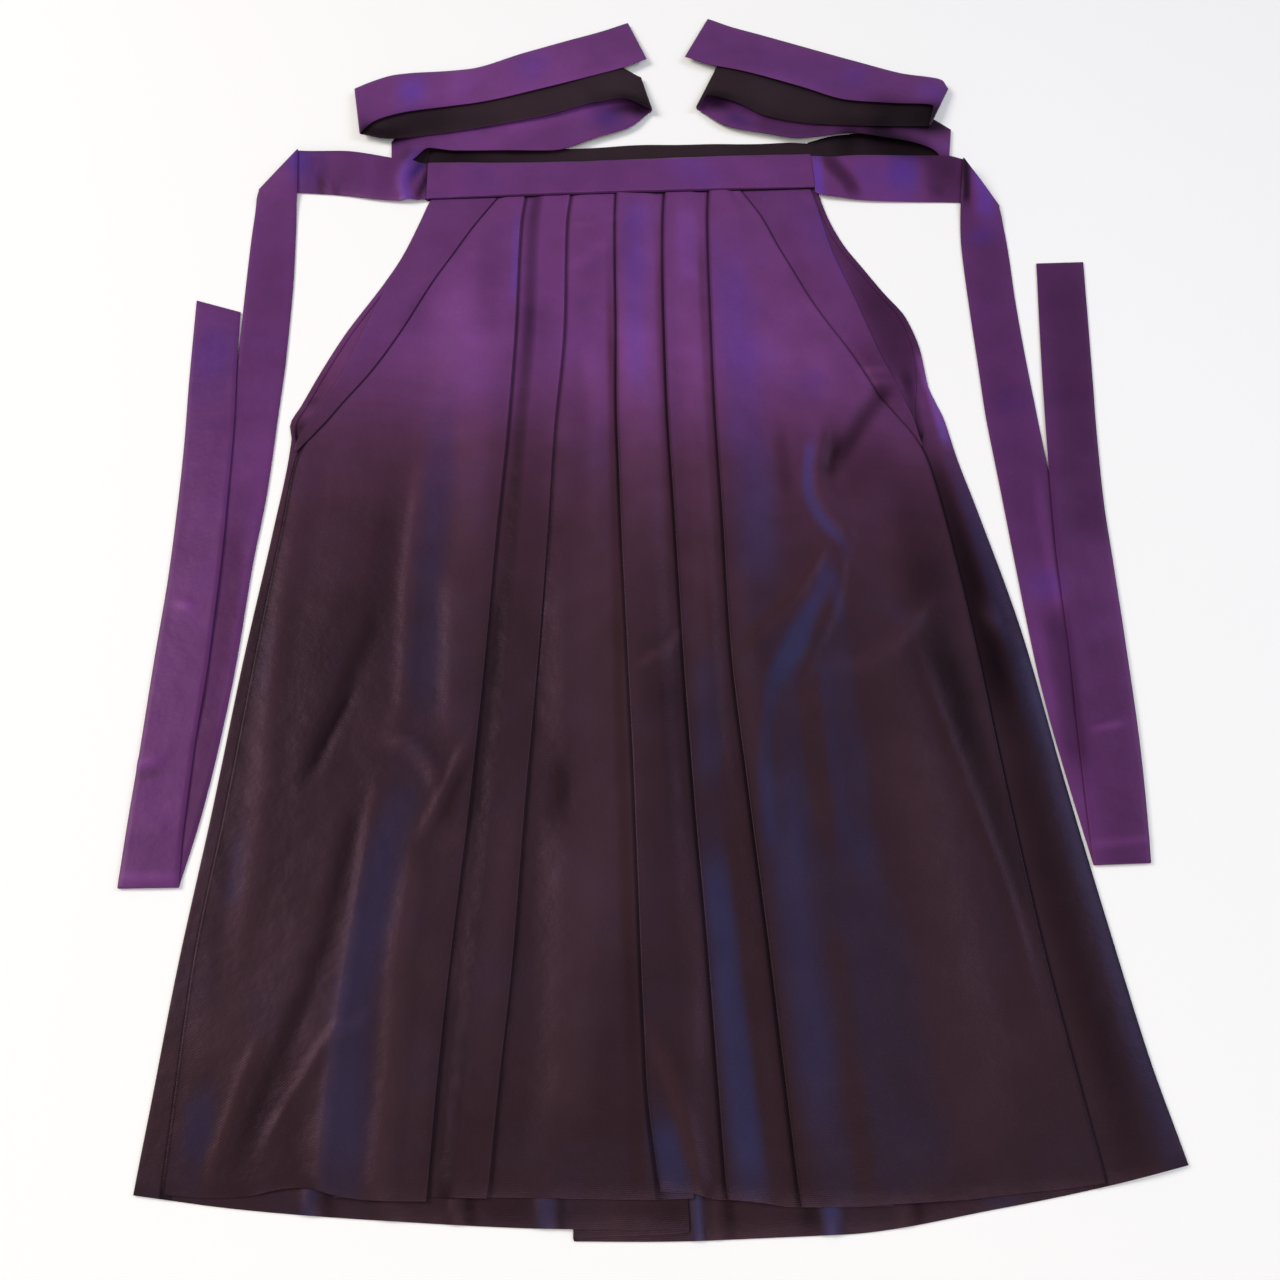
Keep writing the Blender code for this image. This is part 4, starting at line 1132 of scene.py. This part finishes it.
class Nodes:
    """A short way to add nodes to a material."""

    def __init__(self, name):
        self.material = bpy.data.materials.new(name)
        self.material.use_nodes = True
        self.tree = self.material.node_tree
        self.shader = self.tree.nodes["Principled BSDF"]

    def add(self, kind, inputs=None, **settings):
        node = self.tree.nodes.new(kind)
        for key, value in settings.items():
            setattr(node, key, value)
        for key, value in (inputs or {}).items():
            if isinstance(value, bpy.types.NodeSocket):
                self.tree.links.new(value, node.inputs[key])
            else:
                node.inputs[key].default_value = value
        return node

    def link(self, output, socket):
        self.tree.links.new(output, socket)

    def ramp(self, fac, stops):
        node = self.add("ShaderNodeValToRGB", {"Fac": fac})
        points = node.color_ramp.elements
        while len(points) > len(stops):
            points.remove(points[-1])
        while len(points) < len(stops):
            points.new(1.0)
        for point, (at, colour) in zip(points, stops):
            point.position = at
            point.color = colour
        return node.outputs["Color"]

    def mix(self, fac, a, b, blend="MIX"):
        node = self.add("ShaderNodeMix", data_type="RGBA", blend_type=blend)
        for socket, value in ((node.inputs[0], fac), (node.inputs[6], a), (node.inputs[7], b)):
            if isinstance(value, bpy.types.NodeSocket):
                self.link(value, socket)
            else:
                socket.default_value = value
        return node.outputs[2]


def cloth_material(name, plain, blue, brown, roughness, mottle):
    """Smooth woven cloth: colours down its length, turned towards painted blue sheen and painted brown
    shade and scaled by painted light, with a fine weave.
    """
    n = Nodes(name)
    place = n.add("ShaderNodeTexCoord").outputs["Object"]
    split = n.add("ShaderNodeSeparateXYZ", {0: place})
    tilted = {0: split.outputs["X"], 1: 0.12, 2: split.outputs["Y"]}
    along = n.add("ShaderNodeMath", tilted, operation="MULTIPLY_ADD").outputs[0]
    down = n.add("ShaderNodeMapRange", {"Value": along})
    down.inputs["From Min"].default_value = ORIGIN[1] + 0.1
    down.inputs["From Max"].default_value = ORIGIN[1] - 0.9

    def column(rows):
        return n.ramp(down.outputs["Result"], [((at + 100) / 1000, srgb(colour)) for at, colour in rows])

    # Painted sheen and shade and painted light, read from the points
    tone = n.add("ShaderNodeAttribute", attribute_name="tone").outputs["Fac"]
    light = n.add("ShaderNodeAttribute", attribute_name="light").outputs["Fac"]
    cloudy = n.add("ShaderNodeTexNoise", {"Vector": place, "Scale": 16, "Detail": 4})
    drift = n.add("ShaderNodeMath", {0: cloudy.outputs["Fac"], 1: 0.5}, operation="SUBTRACT").outputs[0]
    turn = n.add("ShaderNodeMath", {0: drift, 1: mottle, 2: tone}, operation="MULTIPLY_ADD").outputs[0]
    # Turned towards the painted blue sheen above zero and the painted brown shade below zero
    toward_blue_sheen = n.add("ShaderNodeMath", {0: turn, 1: 0.0}, operation="MAXIMUM", use_clamp=True)
    toward_brown_shade = n.add("ShaderNodeMath", {0: turn, 1: -1.0}, operation="MULTIPLY", use_clamp=True)
    colour = n.mix(toward_blue_sheen.outputs[0], column(plain), column(blue))
    colour = n.mix(toward_brown_shade.outputs[0], colour, column(brown))
    patchy = n.add("ShaderNodeTexNoise", {"Vector": place, "Scale": 31, "Detail": 3}).outputs["Fac"]
    grain = n.add("ShaderNodeTexNoise", {"Vector": place, "Scale": 900, "Detail": 2}).outputs["Fac"]
    # Painted highlights and painted shade from the light mark scale the colour, with a fine grain and
    # soft patches of mottling
    gain = n.add("ShaderNodeMath", {0: light, 1: 1.0}, operation="ADD").outputs[0]
    for noise, spread in ((grain, 0.16), (patchy, 0.2)):
        around_one = {"Value": noise, "To Min": 1 - spread, "To Max": 1 + spread}
        share = n.add("ShaderNodeMapRange", around_one).outputs["Result"]
        gain = n.add("ShaderNodeMath", {0: gain, 1: share}, operation="MULTIPLY").outputs[0]
    shade = n.add("ShaderNodeCombineXYZ", {k: gain for k in range(3)}).outputs[0]
    colour = n.mix(1.0, colour, shade, "MULTIPLY")
    n.link(colour, n.shader.inputs["Base Color"])
    uv = n.add("ShaderNodeUVMap", uv_map="cloth").outputs[0]
    warp = n.add("ShaderNodeTexWave", {"Vector": uv, "Scale": 330}, bands_direction="DIAGONAL")
    weft = n.add("ShaderNodeTexWave", {"Vector": uv, "Scale": 260}, bands_direction="Y")
    threads = {0: warp.outputs["Fac"], 1: weft.outputs["Fac"]}
    weave = n.add("ShaderNodeMath", threads, operation="ADD").outputs[0]
    soft = n.add("ShaderNodeTexNoise", {"Vector": place, "Scale": 60, "Detail": 5}).outputs["Fac"]
    fine = n.add("ShaderNodeBump", {"Height": weave, "Strength": 0.15, "Distance": 0.0002})
    settings = {"Height": soft, "Strength": 0.5, "Distance": 0.0016, "Normal": fine.outputs[0]}
    n.link(n.add("ShaderNodeBump", settings).outputs[0], n.shader.inputs["Normal"])
    rough = n.add("ShaderNodeMapRange", {"Value": soft})
    rough.inputs["To Min"].default_value = roughness - 0.05
    rough.inputs["To Max"].default_value = roughness + 0.05
    n.link(rough.outputs["Result"], n.shader.inputs["Roughness"])
    n.shader.inputs["Sheen Weight"].default_value = 0.02
    n.shader.inputs["Sheen Roughness"].default_value = 0.4
    n.shader.inputs["Sheen Tint"].default_value = (0.6, 0.45, 0.9, 1)
    n.shader.inputs["Specular IOR Level"].default_value = 0.21
    n.shader.inputs["Specular Tint"].default_value = (1, 0.55, 0.78, 1)
    return n.material


ombre = cloth_material("ombre_cloth", OMBRE, OMBRE_BLUE_SHEEN, OMBRE_BROWN_SHADE, 0.38, 0.6)
purple = cloth_material("purple_cloth", PURPLE, PURPLE_BLUE_SHEEN, PURPLE_BROWN_SHADE, 0.38, 0.35)
lining = cloth_material("dark_lining", DARK, DARK, DARK, 0.6, 0.0)


def place(piece, nodes, slot, materials):
    for material in materials:
        piece.data.materials.append(material)
    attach(piece, "root")
    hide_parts(*nodes)
    return piece


front = place(build_front(), ["front_panel"], "ombre_cloth", [ombre])
back = place(build_back(), ["back_panel"], "ombre_cloth", [ombre])
leaf_left = place(build_side_fold("left"), ["front_side_fold_left"], "ombre_cloth", [ombre])
leaf_right = place(build_side_fold("right"), ["front_side_fold_right"], "ombre_cloth", [ombre])
band = place(build_front_band(), ["front_waistband"], "purple_cloth", [purple])
back_band = place(build_back_band(), ["back_waistband"], "dark_cloth", [lining])
tie_left = build_tie("front_tie_left_cloth", FRONT_TIE_LEFT, (0, 0))
place(tie_left, ["front_tie_left"], "purple_cloth", [purple])
tie_right = build_tie("front_tie_right_cloth", FRONT_TIE_RIGHT, (0, 0))
place(tie_right, ["front_tie_right"], "purple_cloth", [purple])
back_tie_left = build_tie("back_tie_left_cloth", BACK_TIE_LEFT, (1, 0))
place(back_tie_left, ["back_tie_left"], "purple_cloth", [purple, lining])
back_tie_right = build_tie("back_tie_right_cloth", BACK_TIE_RIGHT, (0, 1))
place(back_tie_right, ["back_tie_right"], "purple_cloth", [purple, lining])


def build_floor():
    mesh = bpy.data.meshes.new("floor")
    corners = [(-1, -1), (1, -1), (1, 1), (-1, 1)]
    points = [(x * FLOOR_HALF, y * FLOOR_HALF, FLOOR_LEVEL) for x, y in corners]
    mesh.from_pydata(points, [], [(0, 1, 2, 3)])
    floor = add_object("floor", mesh)
    n = Nodes("pale_floor")
    n.shader.inputs["Base Color"].default_value = (0.97, 0.965, 0.94, 1)
    n.shader.inputs["Roughness"].default_value = 0.9
    n.shader.inputs["Specular IOR Level"].default_value = 0.1
    mesh.materials.append(n.material)


def area_light(name, where, size, power, colour=(1, 1, 1)):
    data = bpy.data.lights.new(name, "AREA")
    data.size = size
    data.energy = power
    data.color = colour
    light = add_object(name, data)
    light.location = where
    light.rotation_euler = (Vector((0, -0.1, 0)) - Vector(where)).to_track_quat("-Z", "Y").to_euler()


build_floor()
area_light("key", (-3.0, 1.0, 2.8), 2.0, 108, (1, 0.94, 0.9))
area_light("window", (3.0, 0.7, 2.6), 2.0, 48, (0.64, 0.73, 1))
area_light("front", (0.3, -3.2, 3.4), 3.0, 96, (1, 0.98, 0.95))
world = bpy.data.worlds.new("studio")
world.use_nodes = True
world.node_tree.nodes["Background"].inputs["Color"].default_value = (1, 1, 1, 1)
world.node_tree.nodes["Background"].inputs["Strength"].default_value = 0.22
bpy.context.scene.world = world
bpy.context.scene.view_settings.view_transform = "Standard"

camera_data = bpy.data.cameras.new("camera")
camera_data.sensor_width = SENSOR_WIDTH
camera_data.lens = SENSOR_WIDTH * FOCAL_PIXELS / PICTURE_WIDTH
camera = add_object("camera", camera_data)
camera.location = (ORIGIN[0] + CAMERA_PLACE[0], ORIGIN[1] + CAMERA_PLACE[1], CAMERA_PLACE[2])
camera.rotation_euler = (radians(CAMERA_TILT), 0, radians(CAMERA_TURN))
bpy.context.scene.camera = camera
